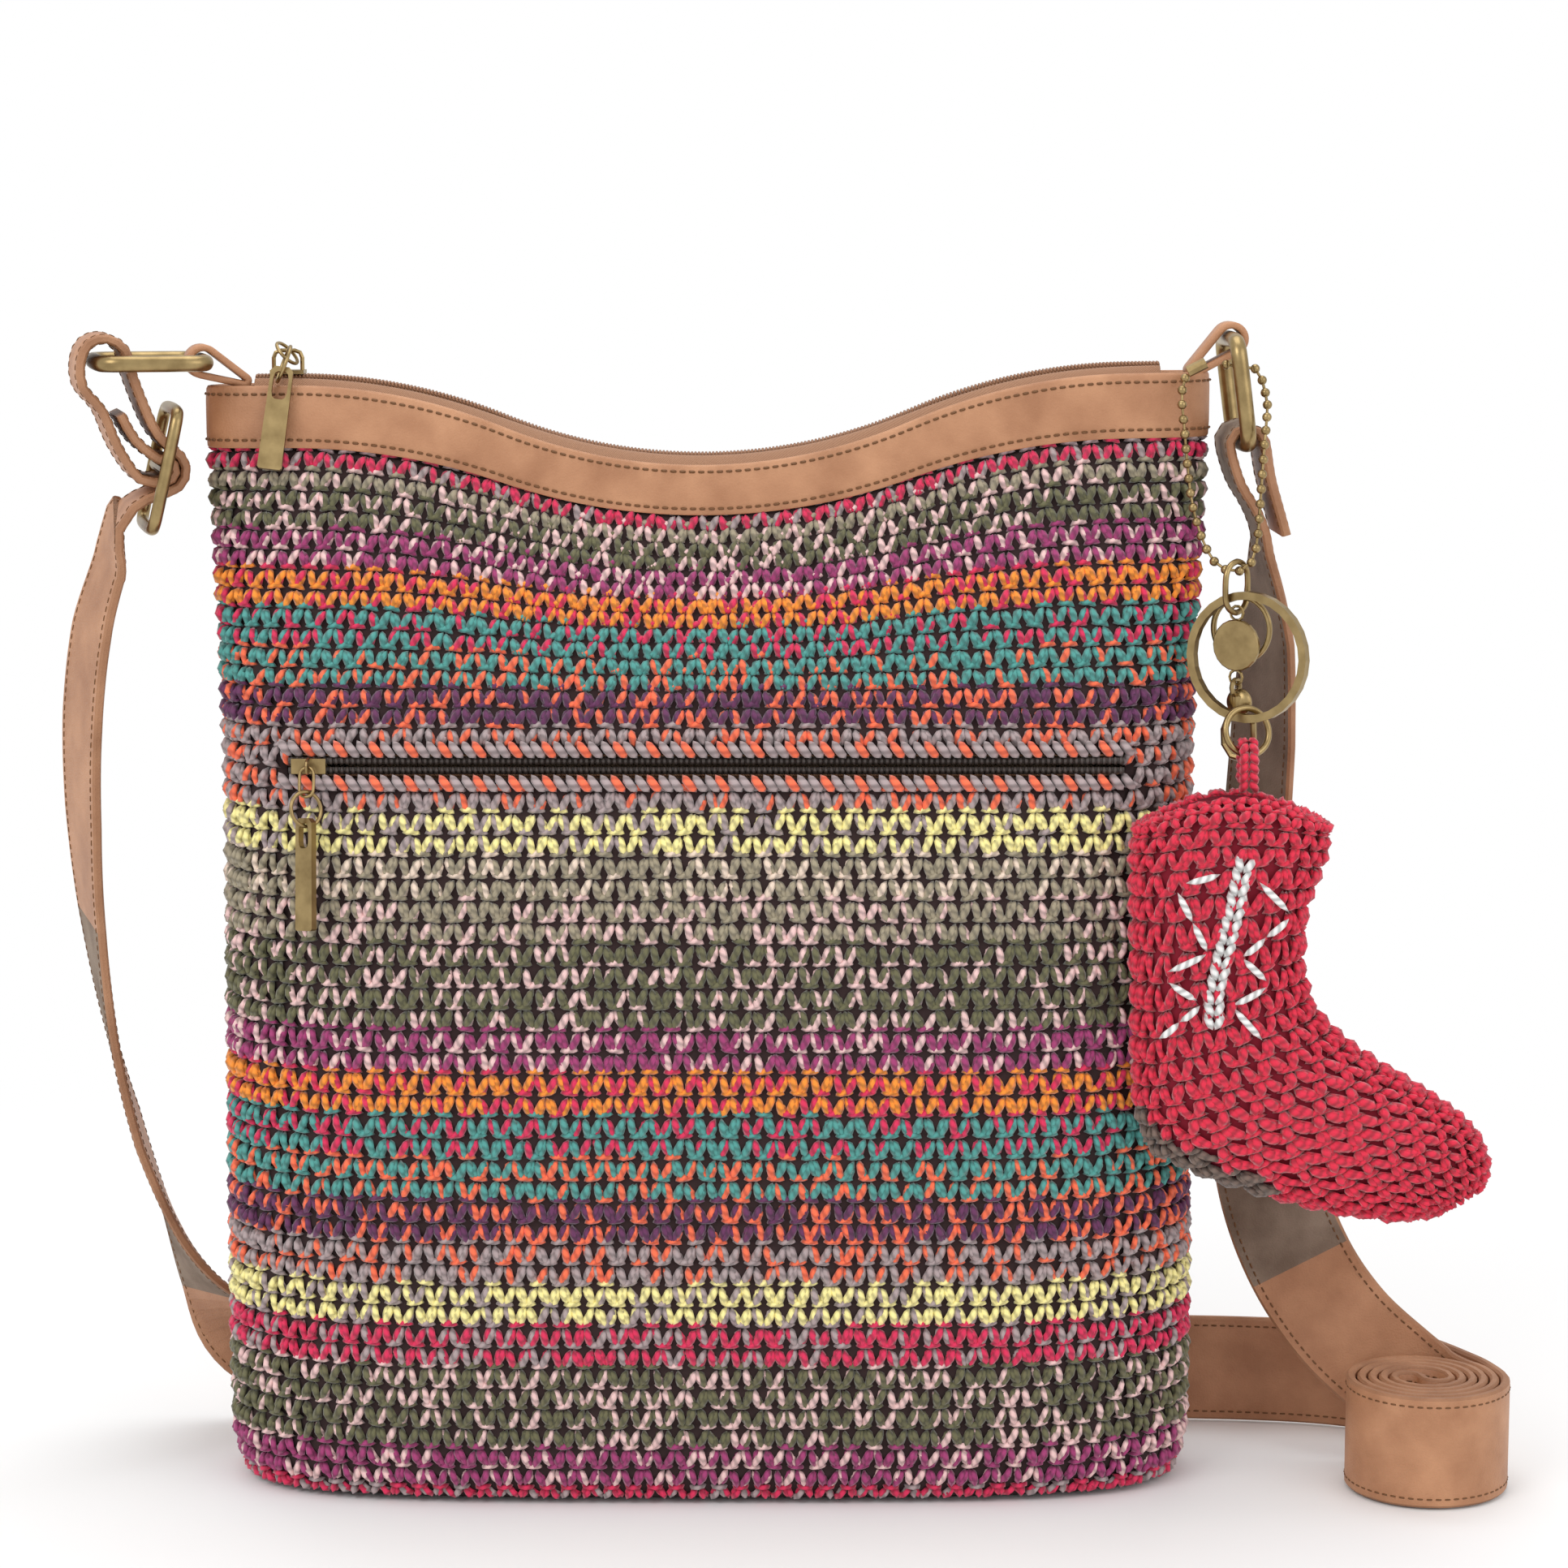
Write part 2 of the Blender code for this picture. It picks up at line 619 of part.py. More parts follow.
def pocket_y():
    """The pocket zip runs straight, a little behind the crest of the front."""
    return -profile(FRONT_PROFILE, POCKET_HEIGHT) * MM + POCKET_RECESS


def make_pocket_zip():
    stations = zip_stations(POCKET_HALF_LENGTH - GAP, 11)
    for side, sign in (("upper", 1), ("lower", -1)):
        height = POCKET_HEIGHT + sign * POCKET_COIL_OFFSET
        points = [Vector((x, pocket_y(), height)) for x in stations[::len(stations) - 1]]
        wire(f"pocket_coil_{side}", points, POCKET_COIL_RADIUS, MATERIALS["dark_coil"], cyclic=False, sides=1)
        inner = POCKET_COIL_OFFSET + POCKET_COIL_RADIUS + GAP
        sections = []
        outer = POCKET_SLIT / 2 + (4.2 * MM if sign > 0 else 0.9 * MM)
        for x in stations:
            front = pocket_y()
            walls = [wall_y(x, POCKET_HEIGHT + sign * edge, BODY_WALL) for edge in (0, outer)]
            fold = max(front, *walls) + 1.2 * MM
            wall = 0.4 * MM
            sections.append([
                Vector((x, front, POCKET_HEIGHT + sign * inner)),
                Vector((x, fold + wall, POCKET_HEIGHT + sign * inner)),
                Vector((x, fold + wall, POCKET_HEIGHT + sign * outer)),
                Vector((x, fold, POCKET_HEIGHT + sign * outer)),
                Vector((x, fold, POCKET_HEIGHT + sign * (inner + wall))),
                Vector((x, front, POCKET_HEIGHT + sign * (inner + wall))),
            ])
        loft(f"pocket_tape_{side}", sections, [MATERIALS["tape"]])


def make_pocket_pull():
    centre = Vector((-POCKET_HALF_LENGTH + POCKET_SLIDER_INSET, pocket_y(), POCKET_HEIGHT))
    along = Vector((1, 0, 0))
    out = Vector((0, -1, 0))
    slider, _ = slider_body("pocket_slider", centre, along, out, POCKET_COIL_RADIUS, 2.1 * MM)
    plate = centre + out * (POCKET_COIL_RADIUS + GAP + SLIDER_PLATE)
    up = Vector((0, 0, 1))
    staple_base = plate + up * (0.2 * MM)
    make_bail(slider, staple_base, up, out, 3.4 * MM, 4.4 * MM, 0.5 * MM)
    bar = staple_base + out * (4.4 * MM)
    loop_yaw, ring_yaw, tab_yaw = math.radians(-15), math.radians(40), math.radians(-35)
    loop_across = Vector((math.cos(loop_yaw), math.sin(loop_yaw), 0))
    loop_wire, loop_height, loop_breadth = 0.55 * MM, 8.2 * MM, 4.2 * MM
    hang = Vector((0, -math.sin(POCKET_HANG_LEAN), -math.cos(POCKET_HANG_LEAN)))
    loop_across = (loop_across - hang * loop_across.dot(hang)).normalized()
    top = bar - out * (0.5 * MM + loop_wire + 0.25 * MM) + up * (-0.1 * MM)
    loop_centre = top + hang * (loop_height / 2)
    wire("pocket_pull_loop", rounded_rectangle(loop_centre, -hang, loop_across, loop_height, loop_breadth, 1.9 * MM),
         loop_wire, MATERIALS["brass"], sides=1)
    ring_wire, ring_radius = 0.65 * MM, 4.9 * MM
    ring_top = top + hang * (loop_height - loop_wire - ring_wire - 0.3 * MM)
    ring_across = Vector((math.cos(ring_yaw), math.sin(ring_yaw), 0))
    ring_across = (ring_across - hang * ring_across.dot(hang)).normalized()
    ring_centre = ring_top + hang * ring_radius
    wire("pocket_pull_ring", circle(ring_centre, ring_across, -hang, ring_radius, 18), ring_wire, MATERIALS["brass"],
         sides=1)
    rim_half = 0.68 * MM
    grip = ring_centre + hang * (ring_radius - ring_wire - rim_half - 0.4 * MM)
    across = Vector((math.cos(tab_yaw), math.sin(tab_yaw), 0))
    down = Vector((0, -math.sin(POCKET_PULL_LEAN), -math.cos(POCKET_PULL_LEAN)))
    across = (across - down * across.dot(down)).normalized()
    pull_tab("pocket_pull_tab", grip - down * rim_half, down, across, 7 * MM, 3.5 * MM, 31 * MM, 5.8 * MM, 6.0 * MM,
             2.0 * MM)
    return {"bar": top, "loop_bottom": top + hang * loop_height, "grip": grip}


# Rings, tabs, strap and buckle


def teardrop(root, bar_centre, radius, root_radius):
    """A closed loop round a bar that narrows to its root."""
    axis = bar_centre - root
    reach = axis.length
    direction = axis / reach
    side = Vector((-direction.z, 0, direction.x))
    lean = math.asin((radius - root_radius) / reach)
    points = []
    for i in range(9):
        t = -math.pi / 2 - lean + (math.pi + 2 * lean) * i / 8
        points.append(bar_centre + direction * (radius * math.cos(t)) + side * (radius * math.sin(t)))
    for i in range(4):
        t = math.pi / 2 + lean + (math.pi - 2 * lean) * i / 3
        points.append(root + direction * (root_radius * math.cos(t)) + side * (root_radius * math.sin(t)))
    return points


def left_axes():
    along = Vector((-math.cos(LEFT_YAW), -math.sin(LEFT_YAW), 0))
    across = Vector((math.sin(LEFT_YAW), -math.cos(LEFT_YAW), 0))
    return along, across


def left_bar():
    return Vector((-141.8 * MM, -3.2 * MM, BODY_HEIGHT + 22.8 * MM))


def right_bar():
    return Vector((146.8 * MM, 0, BODY_HEIGHT + 29 * MM))


def make_tabs():
    radius = RING_WIRE + 0.4 * MM + TAB_LEATHER / 2
    loops = (
        ("left_ring_tab", left_bar(), left_axes()[0], (11.4 * MM, 5.4 * MM)),
        ("right_ring_tab", right_bar(), Vector((1, 0, 0)), (14.4 * MM, 8.2 * MM)),
    )
    for name, bar_centre, along, (inward, drop) in loops:
        root = Vector((-inward, 0, -drop))
        flat = teardrop(root, Vector((0, 0, 0)), radius, TAB_LEATHER / 2 + 0.15 * MM)
        up = Vector((0, 0, 1))
        points = [bar_centre + along * point.x + up * point.z for point in flat]
        strip(name, points, along.cross(up), TAB_LOOP_WIDTH, TAB_LEATHER, MATERIALS["leather"], cyclic=True)


def make_rings():
    along, across = left_axes()
    centre = left_bar() + along * (RING_LENGTH / 2)
    wire("left_ring", rounded_rectangle(centre, along, across, RING_LENGTH, RING_BREADTH, RING_CORNER, 3),
         RING_WIRE, MATERIALS["brass"])
    down = Vector((math.sin(RIGHT_TILT), 0, -math.cos(RIGHT_TILT)))
    centre = right_bar() + down * (RING_LENGTH / 2)
    wire("right_ring", rounded_rectangle(centre, down, Vector((0, 1, 0)), RING_LENGTH, RING_BREADTH, RING_CORNER, 3),
         RING_WIRE, MATERIALS["brass"])
    return right_bar() + down * RING_LENGTH


def buckle_place():
    """Centre of the buckle's bar and the direction of its length, in the strap's own plane."""
    along, _ = left_axes()
    centre = left_bar() + along * (12.4 * MM) + Vector((0, 0, -29.6 * MM))
    return centre, (Vector((0, 0, 1)) * math.cos(BUCKLE_TILT) - along * math.sin(BUCKLE_TILT))


def make_buckle():
    _, across = left_axes()
    centre, up = buckle_place()
    wire("buckle_frame", rounded_rectangle(centre, up, across, BUCKLE_LENGTH, BUCKLE_BREADTH, 5 * MM, 3),
         BUCKLE_WIRE, MATERIALS["brass"], sides=1)
    half = BUCKLE_BREADTH / 2 - BUCKLE_WIRE - GAP
    wire("buckle_bar", [centre - across * half, centre + across * half], BAR_RADIUS, MATERIALS["brass"],
         cyclic=False, sides=2)


def strap_left_points():
    """Strap centres from its sewn tip, round the buckle's bar, over the ring and down, with its width direction."""
    along, across = left_axes()
    bar, _ = buckle_place()
    ring = left_bar() + along * RING_LENGTH

    def at(origin, left, up):
        return origin + along * (left * MM) + Vector((0, 0, up * MM))

    wrap = BAR_RADIUS + 0.4 * MM + STRAP_THICKNESS / 2
    outer = wrap + STRAP_THICKNESS + 0.4 * MM
    tip = [at(bar, 11.5, 15.5), at(bar, 7.8, 8.6)]
    wrapped = [at(bar, -wrap / MM * math.cos(t), wrap / MM * math.sin(t))
               for t in [math.radians(a) for a in (112, 70, 30, -10, -50, -85)]]
    left_limb = [at(bar, 6.5, -2.4), at(bar, 12.5, 6.5), at(bar, 16.5, 16.5), at(ring, 4.6, -6.5), at(ring, 5.0, 0.5)]
    over_ring = [at(ring, 2.6, 5.4), at(ring, -2.4, 6.8), at(ring, -7.2, 3.6), at(ring, -8.9, -3)]
    right_limb = [at(bar, 4.6, 16.5), at(bar, 1.2, 9.6)]
    through = [at(bar, -outer / MM * math.cos(t), outer / MM * math.sin(t))
               for t in [math.radians(a) for a in (38, 10, -20, -50, -78)]]
    out = [at(bar, 5.6, -8.4), at(bar, 11.0, -13.4)]
    points = tip + wrapped + left_limb + over_ring + right_limb + through + out
    return points, [across] * len(points)


RUN_DOWN = (
    ((-168.5, -4, 266), (0.40, -0.92, 0.0)), ((-174.5, -4, 246), (0.45, -0.89, 0.0)),
    ((-178, -3, 220), (0.45, -0.89, 0.0)), ((-179, 0, 192), (0.42, -0.91, 0.0)),
    ((-178, 4, 162), (0.34, -0.94, 0.0)), ((-174.5, 10, 128), (0.22, -0.97, 0.05)),
    ((-168.5, 17, 97), (0.12, -0.97, 0.12)), ((-160, 25.5, 67), (0.10, -0.90, 0.35)),
    ((-150, 34.5, 43), (0.10, -0.72, 0.65)), ((-138, 41, 26.5), (0.10, -0.35, 0.92)),
    ((-120, 43.5, 18.5), (0.0, -0.05, 1.0)), ((-95, 44, 16.5), (0.0, 0.0, 1.0)),
    ((0, 44.5, 16.5), (0.0, 0.0, 1.0)), ((120, 44, 16.5), (0.0, 0.0, 1.0)),
    ((165, 41.5, 16.5), (0.0, 0.0, 1.0)), ((192, 35, 16.5), (0.0, 0.0, 1.0)),
    ((211, 22.5, 16.5), (0.0, 0.0, 1.0)), ((222.6, 3.4, 16.5), (0.0, 0.0, 1.0)),
    ((226.9, -7.5, 16.5), (0.0, 0.0, 1.0)),
)
RUN_UP = (
    ((223.9, -8.9, 16.5), (0.0, 0.0, 1.0)), ((219.2, -2.2, 16.6), (0.0, 0.0, 1.0)),
    ((210.8, 3.4, 18.8), (0.06, 0.05, 0.98)), ((200, 8.0, 26), (0.38, 0.10, 0.88)),
    ((186, 13, 38.5), (0.62, 0.08, 0.78)),
    ((174.5, 20.5, 55), (0.75, 0.0, 0.64)), ((165.5, 22, 78), (0.80, -0.3, 0.45)),
    ((160.5, 22, 105), (0.70, -0.60, 0.2)), ((158.5, 20, 140), (0.52, -0.83, 0.0)),
    ((158.5, 16, 180), (0.46, -0.88, 0.0)), ((159.5, 11, 215), (0.42, -0.90, 0.0)),
    ((159.5, 5, 245), (0.30, -0.95, 0.0)),
)


def roll_points():
    """Strap centres of the roll: in along one arm, across the middle, and out along the other."""
    centre = Vector((*ROLL_CENTRE, 16.5 * MM))

    def spiral(start_radius, turns):
        points = []
        for i in range(round(turns * ROLL_STEPS) + 1):
            angle = -2 * math.pi * i / ROLL_STEPS
            radius = start_radius - ROLL_PITCH * i / ROLL_STEPS
            points.append(centre + Vector((radius * math.cos(angle), radius * math.sin(angle), 0)))
        return points

    inward = spiral(ROLL_RADIUS, ROLL_TURNS)
    outward = spiral(ROLL_RADIUS - ROLL_PITCH / 2, ROLL_TURNS - 0.5)[::-1]
    first, last = inward[-1] - centre, outward[0] - centre
    bend = []
    for end, sign in ((first, 1), (last, -1)):
        half = end / 2
        normal = Vector((end.y, -end.x, 0)) / 2
        arc = [centre + half + half * math.cos(t) + normal * math.sin(t) for t in [math.pi * i / 6 for i in range(1, 6)]]
        bend += arc if sign > 0 else [centre] + arc[::-1]
    return inward + bend + outward


def strap_right_points(bar):
    """Strap centres up to the right ring, round its lower bar, to the sewn tip."""
    across = Vector((0, -1, 0))

    def at(right, up):
        return bar + Vector((right * MM, 0, up * MM))

    radius = (RING_WIRE + 1.25 * MM + STRAP_THICKNESS / 2) / MM
    rise = [at(6.3, -29), at(3.2, -19), at(-1.6, -11)]
    fold = [at(radius * math.cos(t), radius * math.sin(t))
            for t in [math.radians(a) for a in (205, 170, 130, 90, 50, 12)]]
    tip = [at(6.6, -9), at(9.6, -19.5), at(11.2, -25)]
    points = rise + fold + tip
    return points, [across] * len(points)


def make_strap(right_bar_centre):
    left, left_across = strap_left_points()
    right, right_across = strap_right_points(right_bar_centre)
    rolled = roll_points()
    down = [Vector(p) * MM for p, _ in RUN_DOWN]
    up = [Vector(p) * MM for p, _ in RUN_UP]
    keys = left + down + rolled + up + right
    across = left_across + [Vector(w) for _, w in RUN_DOWN]
    across += [Vector((0, 0, 1))] * len(rolled)
    across += [Vector(w) for _, w in RUN_UP] + right_across
    centres, sides = [], []
    for i in range(len(keys) - 1):
        window = [keys[max(i - 1, 0)], keys[i], keys[i + 1], keys[min(i + 2, len(keys) - 1)]]
        length = (keys[i + 1] - keys[i]).length
        count = max(1, round(length / (21 * MM)))
        before = window[0] if i else keys[0] * 2 - keys[1]
        after = window[3] if i + 2 < len(keys) else keys[-1] * 2 - keys[-2]
        for step in range(count):
            t = step / count
            start, end = keys[i], keys[i + 1]
            centres.append(0.5 * ((2 * start) + (end - before) * t + (2 * before - 5 * start + 4 * end - after) * t ** 2
                                  + (3 * start - before - 3 * end + after) * t ** 3))
            sides.append(across[i].lerp(across[i + 1], t))
    centres.append(keys[-1])
    sides.append(across[-1])
    strip("strap", centres, sides, STRAP_WIDTH, STRAP_THICKNESS, MATERIALS["leather"])


# Charm


CHAIN_ROUTE = (
    (133.5, -13.2, 319), (131.8, -17.2, 313), (132.6, -18.4, 303), (133.6, -19.4, 292), (135, -20.8, 282),
    (138, -23.4, 272), (141.6, -26, 266.4), (146.5, -28.6, 264.9), (150.6, -28.4, 267.5), (152.2, -27.4, 274),
    (153, -26.2, 284), (153.8, -24.8, 296), (154.6, -22.8, 304), (155.4, -18.5, 310.5), (154.6, -14.6, 315.6),
)
CHAIN_BACK = ((153.5, -12.9, 319.5), (149, -13.0, 320.6), (144, -13.1, 321.2), (139, -13.2, 321.8))


def make_chain():
    """Beads on a thin wire, turned as one string along the route."""
    fine = smooth_path([Vector(p) * MM for p in CHAIN_ROUTE + CHAIN_BACK], 0.5 * MM)
    lengths = [0.0]
    for a, b in zip(fine, fine[1:]):
        lengths.append(lengths[-1] + (b - a).length)

    def at(distance):
        distance = min(max(distance, 0.0), lengths[-1])
        for i in range(len(fine) - 1):
            if distance <= lengths[i + 1]:
                share = (distance - lengths[i]) / (lengths[i + 1] - lengths[i])
                return fine[i].lerp(fine[i + 1], share)
        return fine[-1]

    beads = int(lengths[-1] / BEAD_PITCH)
    rings = []
    for bead in range(beads):
        middle = (bead + 0.5) * BEAD_PITCH
        for offset, radius in ((-BEAD_RADIUS, CHAIN_WIRE), (0, BEAD_RADIUS), (BEAD_RADIUS, CHAIN_WIRE)):
            point = at(middle + offset)
            tangent = (at(middle + offset + 1 * MM) - at(middle + offset - 1 * MM)).normalized()
            side = tangent.cross(Vector((0, 0, 1) if abs(tangent.z) < 0.9 else (1, 0, 0))).normalized()
            if rings:
                side = previous - tangent * previous.dot(tangent)
                side.normalize()
            previous = side
            rings.append(circle(point, side, tangent.cross(side), radius, 5))
    loft("ball_chain", rings, [MATERIALS["brass"]])
    start = at(0)
    end = at(lengths[-1])
    direction = (start - end).normalized()
    half_gap = 0.3 * MM
    wire("chain_connector", [end + direction * half_gap, start - direction * half_gap], 1.6 * MM, MATERIALS["brass"],
         cyclic=False, sides=2)


def flat_ring(name, centre, along, across, radius, band, thickness, steps, material):
    """A flat ring of rectangular section."""
    axis = along.cross(across)
    rings = []
    for i in range(steps):
        t = 2 * math.pi * i / steps
        out = along * math.cos(t) + across * math.sin(t)
        middle = centre + out * radius
        rings.append([middle + out * (band / 2) + axis * (thickness / 2), middle + out * (band / 2) - axis * (thickness / 2),
                      middle - out * (band / 2) - axis * (thickness / 2), middle - out * (band / 2) + axis * (thickness / 2)])
    return loft(name, rings, [material], cyclic=True)


def disc(name, centre, axis, radius, thickness, sides, bevel):
    """A coin with bevelled rims, as a mesh that other shapes can join."""
    mesh_data = bmesh.new()
    bmesh.ops.create_cone(mesh_data, cap_ends=True, segments=sides, radius1=radius, radius2=radius, depth=thickness)
    rims = [edge for edge in mesh_data.edges if abs(edge.verts[0].co.z - edge.verts[1].co.z) < 1e-6]
    bmesh.ops.bevel(mesh_data, geom=rims, offset=bevel, segments=1, affect="EDGES", profile=0.5, material=-1)
    turn = axis.to_track_quat("Z", "Y").to_matrix().to_4x4()
    bmesh.ops.transform(mesh_data, matrix=Matrix.Translation(centre) @ turn, verts=mesh_data.verts)
    return finish_mesh(name, mesh_data, [MATERIALS["brass"]])


def ring_cutter(name, centre, along, across, radius, wire_radius, steps=10, sides=6):
    mesh_data = bmesh.new()
    axis = along.cross(across)
    loops = []
    for i in range(steps):
        t = 2 * math.pi * i / steps
        out = along * math.cos(t) + across * math.sin(t)
        loops.append([mesh_data.verts.new(p) for p in circle(centre + out * radius, out, axis, wire_radius, sides)])
    for i in range(steps):
        low, high = loops[i], loops[(i + 1) % steps]
        for j in range(sides):
            mesh_data.faces.new((low[j], low[(j + 1) % sides], high[(j + 1) % sides], high[j]))
    return cutter(name, mesh_data)


OVAL_CENTRE = Vector((146.5, -29, 260.6)) * MM
OVAL_YAW = math.radians(45)
KEY_YAW = math.radians(-33)


def horizontal(angle):
    return Vector((math.cos(angle), math.sin(angle), 0))


def make_charm():
    up = Vector((0, 0, 1))
    oval_across = horizontal(OVAL_YAW)
    wire("oval_link", rounded_rectangle(OVAL_CENTRE, up, oval_across, OVAL_HEIGHT, OVAL_BREADTH, 4.8 * MM, 4),
         OVAL_WIRE, MATERIALS["brass"], sides=1)
    floor = OVAL_CENTRE - up * (OVAL_HEIGHT / 2)

    key_across = horizontal(KEY_YAW)
    crossing = floor - oval_across * (1.85 * MM)
    inner_radius = KEY_RING_RADIUS - KEY_RING_BAND / 2
    shift = 5 * MM
    top = crossing.z + 3.3 * MM
    key_centre = Vector((crossing.x, crossing.y, 0)) + key_across * shift
    key_centre.z = top - math.sqrt(inner_radius ** 2 - shift ** 2)
    flat_ring("key_ring", key_centre, key_across, up, KEY_RING_RADIUS, KEY_RING_BAND, KEY_RING_THICKNESS, 28,
              MATERIALS["brass"])

    ring_down = Vector((0, -0.3, -0.954)).normalized()
    ring_across = horizontal(math.radians(20))
    ring_across = (ring_across - ring_down * ring_across.dot(ring_down)).normalized()
    ring_top = key_centre - up * (inner_radius - CHARM_RING_WIRE - 0.9 * MM)
    ring_centre = ring_top + ring_down * CHARM_RING_RADIUS
    wire("charm_ring", circle(ring_centre, ring_across, ring_down, CHARM_RING_RADIUS, 18), CHARM_RING_WIRE,
         MATERIALS["brass"], sides=1)
    ring_bottom = ring_centre + ring_down * CHARM_RING_RADIUS

    inner_axis = horizontal(math.radians(-36))
    lean = floor + oval_across * (2.45 * MM)
    inner_centre = Vector((lean.x, lean.y, floor.z + 4.4 * MM - INNER_RING_RADIUS))
    wire("inner_ring", circle(inner_centre, inner_axis, up, INNER_RING_RADIUS, 18), INNER_RING_WIRE,
         MATERIALS["brass"], sides=1)
    make_medallion(floor + oval_across * (0.35 * MM))
    return {"floor": floor, "key_centre": key_centre, "ring_top": ring_top, "ring_bottom": ring_bottom,
            "inner_centre": inner_centre}


def make_medallion(hang):
    """A coin with a lug above and below, and the snap hook that turns on its lower lug."""
    up = Vector((0, 0, 1))
    flat = horizontal(math.radians(-36))
    axis = flat.cross(up)
    lug_radius, lug_wire = 2.0 * MM, 0.42 * MM
    upper = hang + up * (1.85 * MM - lug_radius)
    centre = upper - up * (lug_radius - 0.3 * MM + MEDALLION_RADIUS)
    coin = disc("medallion", centre, axis, MEDALLION_RADIUS, MEDALLION_THICKNESS, 20, 0.3 * MM)
    lower = centre - up * (MEDALLION_RADIUS + lug_radius - 0.3 * MM)
    boolean(coin, ring_cutter("medallion_upper_lug", upper, flat, up, lug_radius, lug_wire), "UNION")
    boolean(coin, ring_cutter("medallion_lower_lug", lower, flat, up, lug_radius, lug_wire), "UNION")

    eye_wire, eye_radius = 0.7 * MM, 2.2 * MM
    eye = lower - up * (lug_radius - lug_wire - eye_wire - 0.3 * MM + eye_radius)
    neck = eye - up * (eye_radius + 2.2 * MM) - axis * (2.1 * MM)
    collar = disc("snap_hook", neck, up, HOOK_COLLAR_RADIUS, 4.6 * MM, 12, 0.5 * MM)
    boolean(collar, ring_cutter("snap_hook_eye", eye, axis, up, eye_radius, eye_wire), "UNION")

    def at(sideways, below):
        return neck + flat * (sideways * MM) - up * (below * MM)

    bend = [at(-0.2, 1.5), at(-3.2, 4.5), at(-4.6, 8), at(-4.4, 12), at(-2, 15.2), at(1.4, 15.8), at(4.2, 13.8), at(4.8, 11.8)]
    boolean(collar, cutter("snap_hook_bend", tube(bend, axis, HOOK_WIRE, 8)), "UNION")
    gate = [at(3.4, 3.5), at(4.6, 5.8), at(4.8, 11.25)]
    wire("snap_gate", gate, HOOK_WIRE * 0.8, MATERIALS["brass"], cyclic=False, sides=1)


BOOT_RUNGS = (
    ((122.5, 203.0), (166.0, 204.4), 0.62), ((119.2, 200.0), (170.5, 200.5), 0.9),
    ((118.4, 188.0), (169.5, 189.5), 1.0), ((118.8, 170.0), (164.6, 174.5), 1.0),
    ((119.2, 150.0), (163.6, 157.0), 1.0), ((119.6, 132.0), (167.0, 144.5), 1.0),
    ((120.4, 117.0), (176.5, 134.5), 1.0), ((124.5, 106.0), (188.0, 127.0), 1.0),
    ((138.0, 99.0), (198.5, 120.5), 0.97), ((156.0, 93.2), (207.5, 114.5), 0.92),
    ((174.0, 88.8), (213.6, 108.6), 0.86), ((190.0, 86.4), (216.6, 101.0), 0.74),
    ((202.0, 87.6), (215.2, 95.2), 0.5),
)
BOOT_Y = -41 * MM


def make_boot(ring_bottom):
    rings, slots = [], []
    sides = 14
    for level, ((x0, z0), (x1, z1), share) in enumerate(BOOT_RUNGS):
        low = Vector((x0 * MM, BOOT_Y, z0 * MM))
        high = Vector((x1 * MM, BOOT_Y, z1 * MM))
        half = (high - low) / 2
        depth = BOOT_THICKNESS / 2 * share
        ring = []
        for i in range(sides):
            t = 2 * math.pi * i / sides
            c, s = math.cos(t), math.sin(t)
            reach = (abs(c) ** 2.5 + abs(s) ** 2.5) ** (-1 / 2.5)
            ring.append((low + high) / 2 + half * (reach * c) + Vector((0, depth * reach * s, 0)))
        rings.append(ring)
        slots.append(0)
    loft("boot_body", rings, [MATERIALS["boot_yarn"], MATERIALS["heel_yarn"]], slots[1:])
    radius = CHARM_RING_WIRE + 1.5 * MM + 0.85 * MM
    foot = 203.2 * MM + 1.0 * MM
    centre = ring_bottom
    points = [centre + Vector((0, radius * math.cos(t), radius * math.sin(t))) for t in [math.pi * i / 6 for i in range(7)]]
    low = foot + GAP + 0.9 * MM
    points += [Vector((centre.x, centre.y - radius - 0.4 * MM, (centre.z + low) / 2)),
               Vector((centre.x, centre.y - radius, low)), Vector((centre.x, centre.y + radius, low))]
    strip("boot_loop", points, Vector((1, 0, 0)), 4.4 * MM, 1.7 * MM, MATERIALS["boot_yarn"], cyclic=True)


clear_scene()
PARTS = new_collection("crochet_crossbody_bag")
CUTTERS = new_collection("cutters")
CUTTERS.hide_render = True
MATERIALS = {name: new_material(name, colour, 0.85) for name, colour in YARNS.items()}
MATERIALS.update(
    leather=new_material("leather", (0.50, 0.25, 0.13), 0.5),
    brass=new_material("brass", (0.28, 0.20, 0.09), 0.38, 1.0),
    coil=new_material("coil", (0.30, 0.16, 0.09), 0.4),
    dark_coil=new_material("dark_coil", (0.06, 0.05, 0.045), 0.4),
    tape=new_material("tape", (0.42, 0.24, 0.15), 0.9),
    lining=new_material("lining", (0.40, 0.30, 0.22), 0.9),
    boot_yarn=new_material("boot_yarn", (0.60, 0.03, 0.07), 0.75),
    heel_yarn=new_material("heel_yarn", (0.13, 0.09, 0.07), 0.8),
)
make_body()
make_lining()
make_band()
make_main_zip()
make_main_pull()
make_pouch()
make_pocket_zip()
make_pocket_pull()
make_tabs()
lower_bar = make_rings()
make_buckle()
make_strap(lower_bar)
make_chain()
charm = make_charm()
make_boot(charm["ring_bottom"])
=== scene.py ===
"""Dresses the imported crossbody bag: crochet stitches, leather, thread, metal and the boot charm."""

import math
import random

import bmesh
import bpy
from mathutils import Matrix, Vector


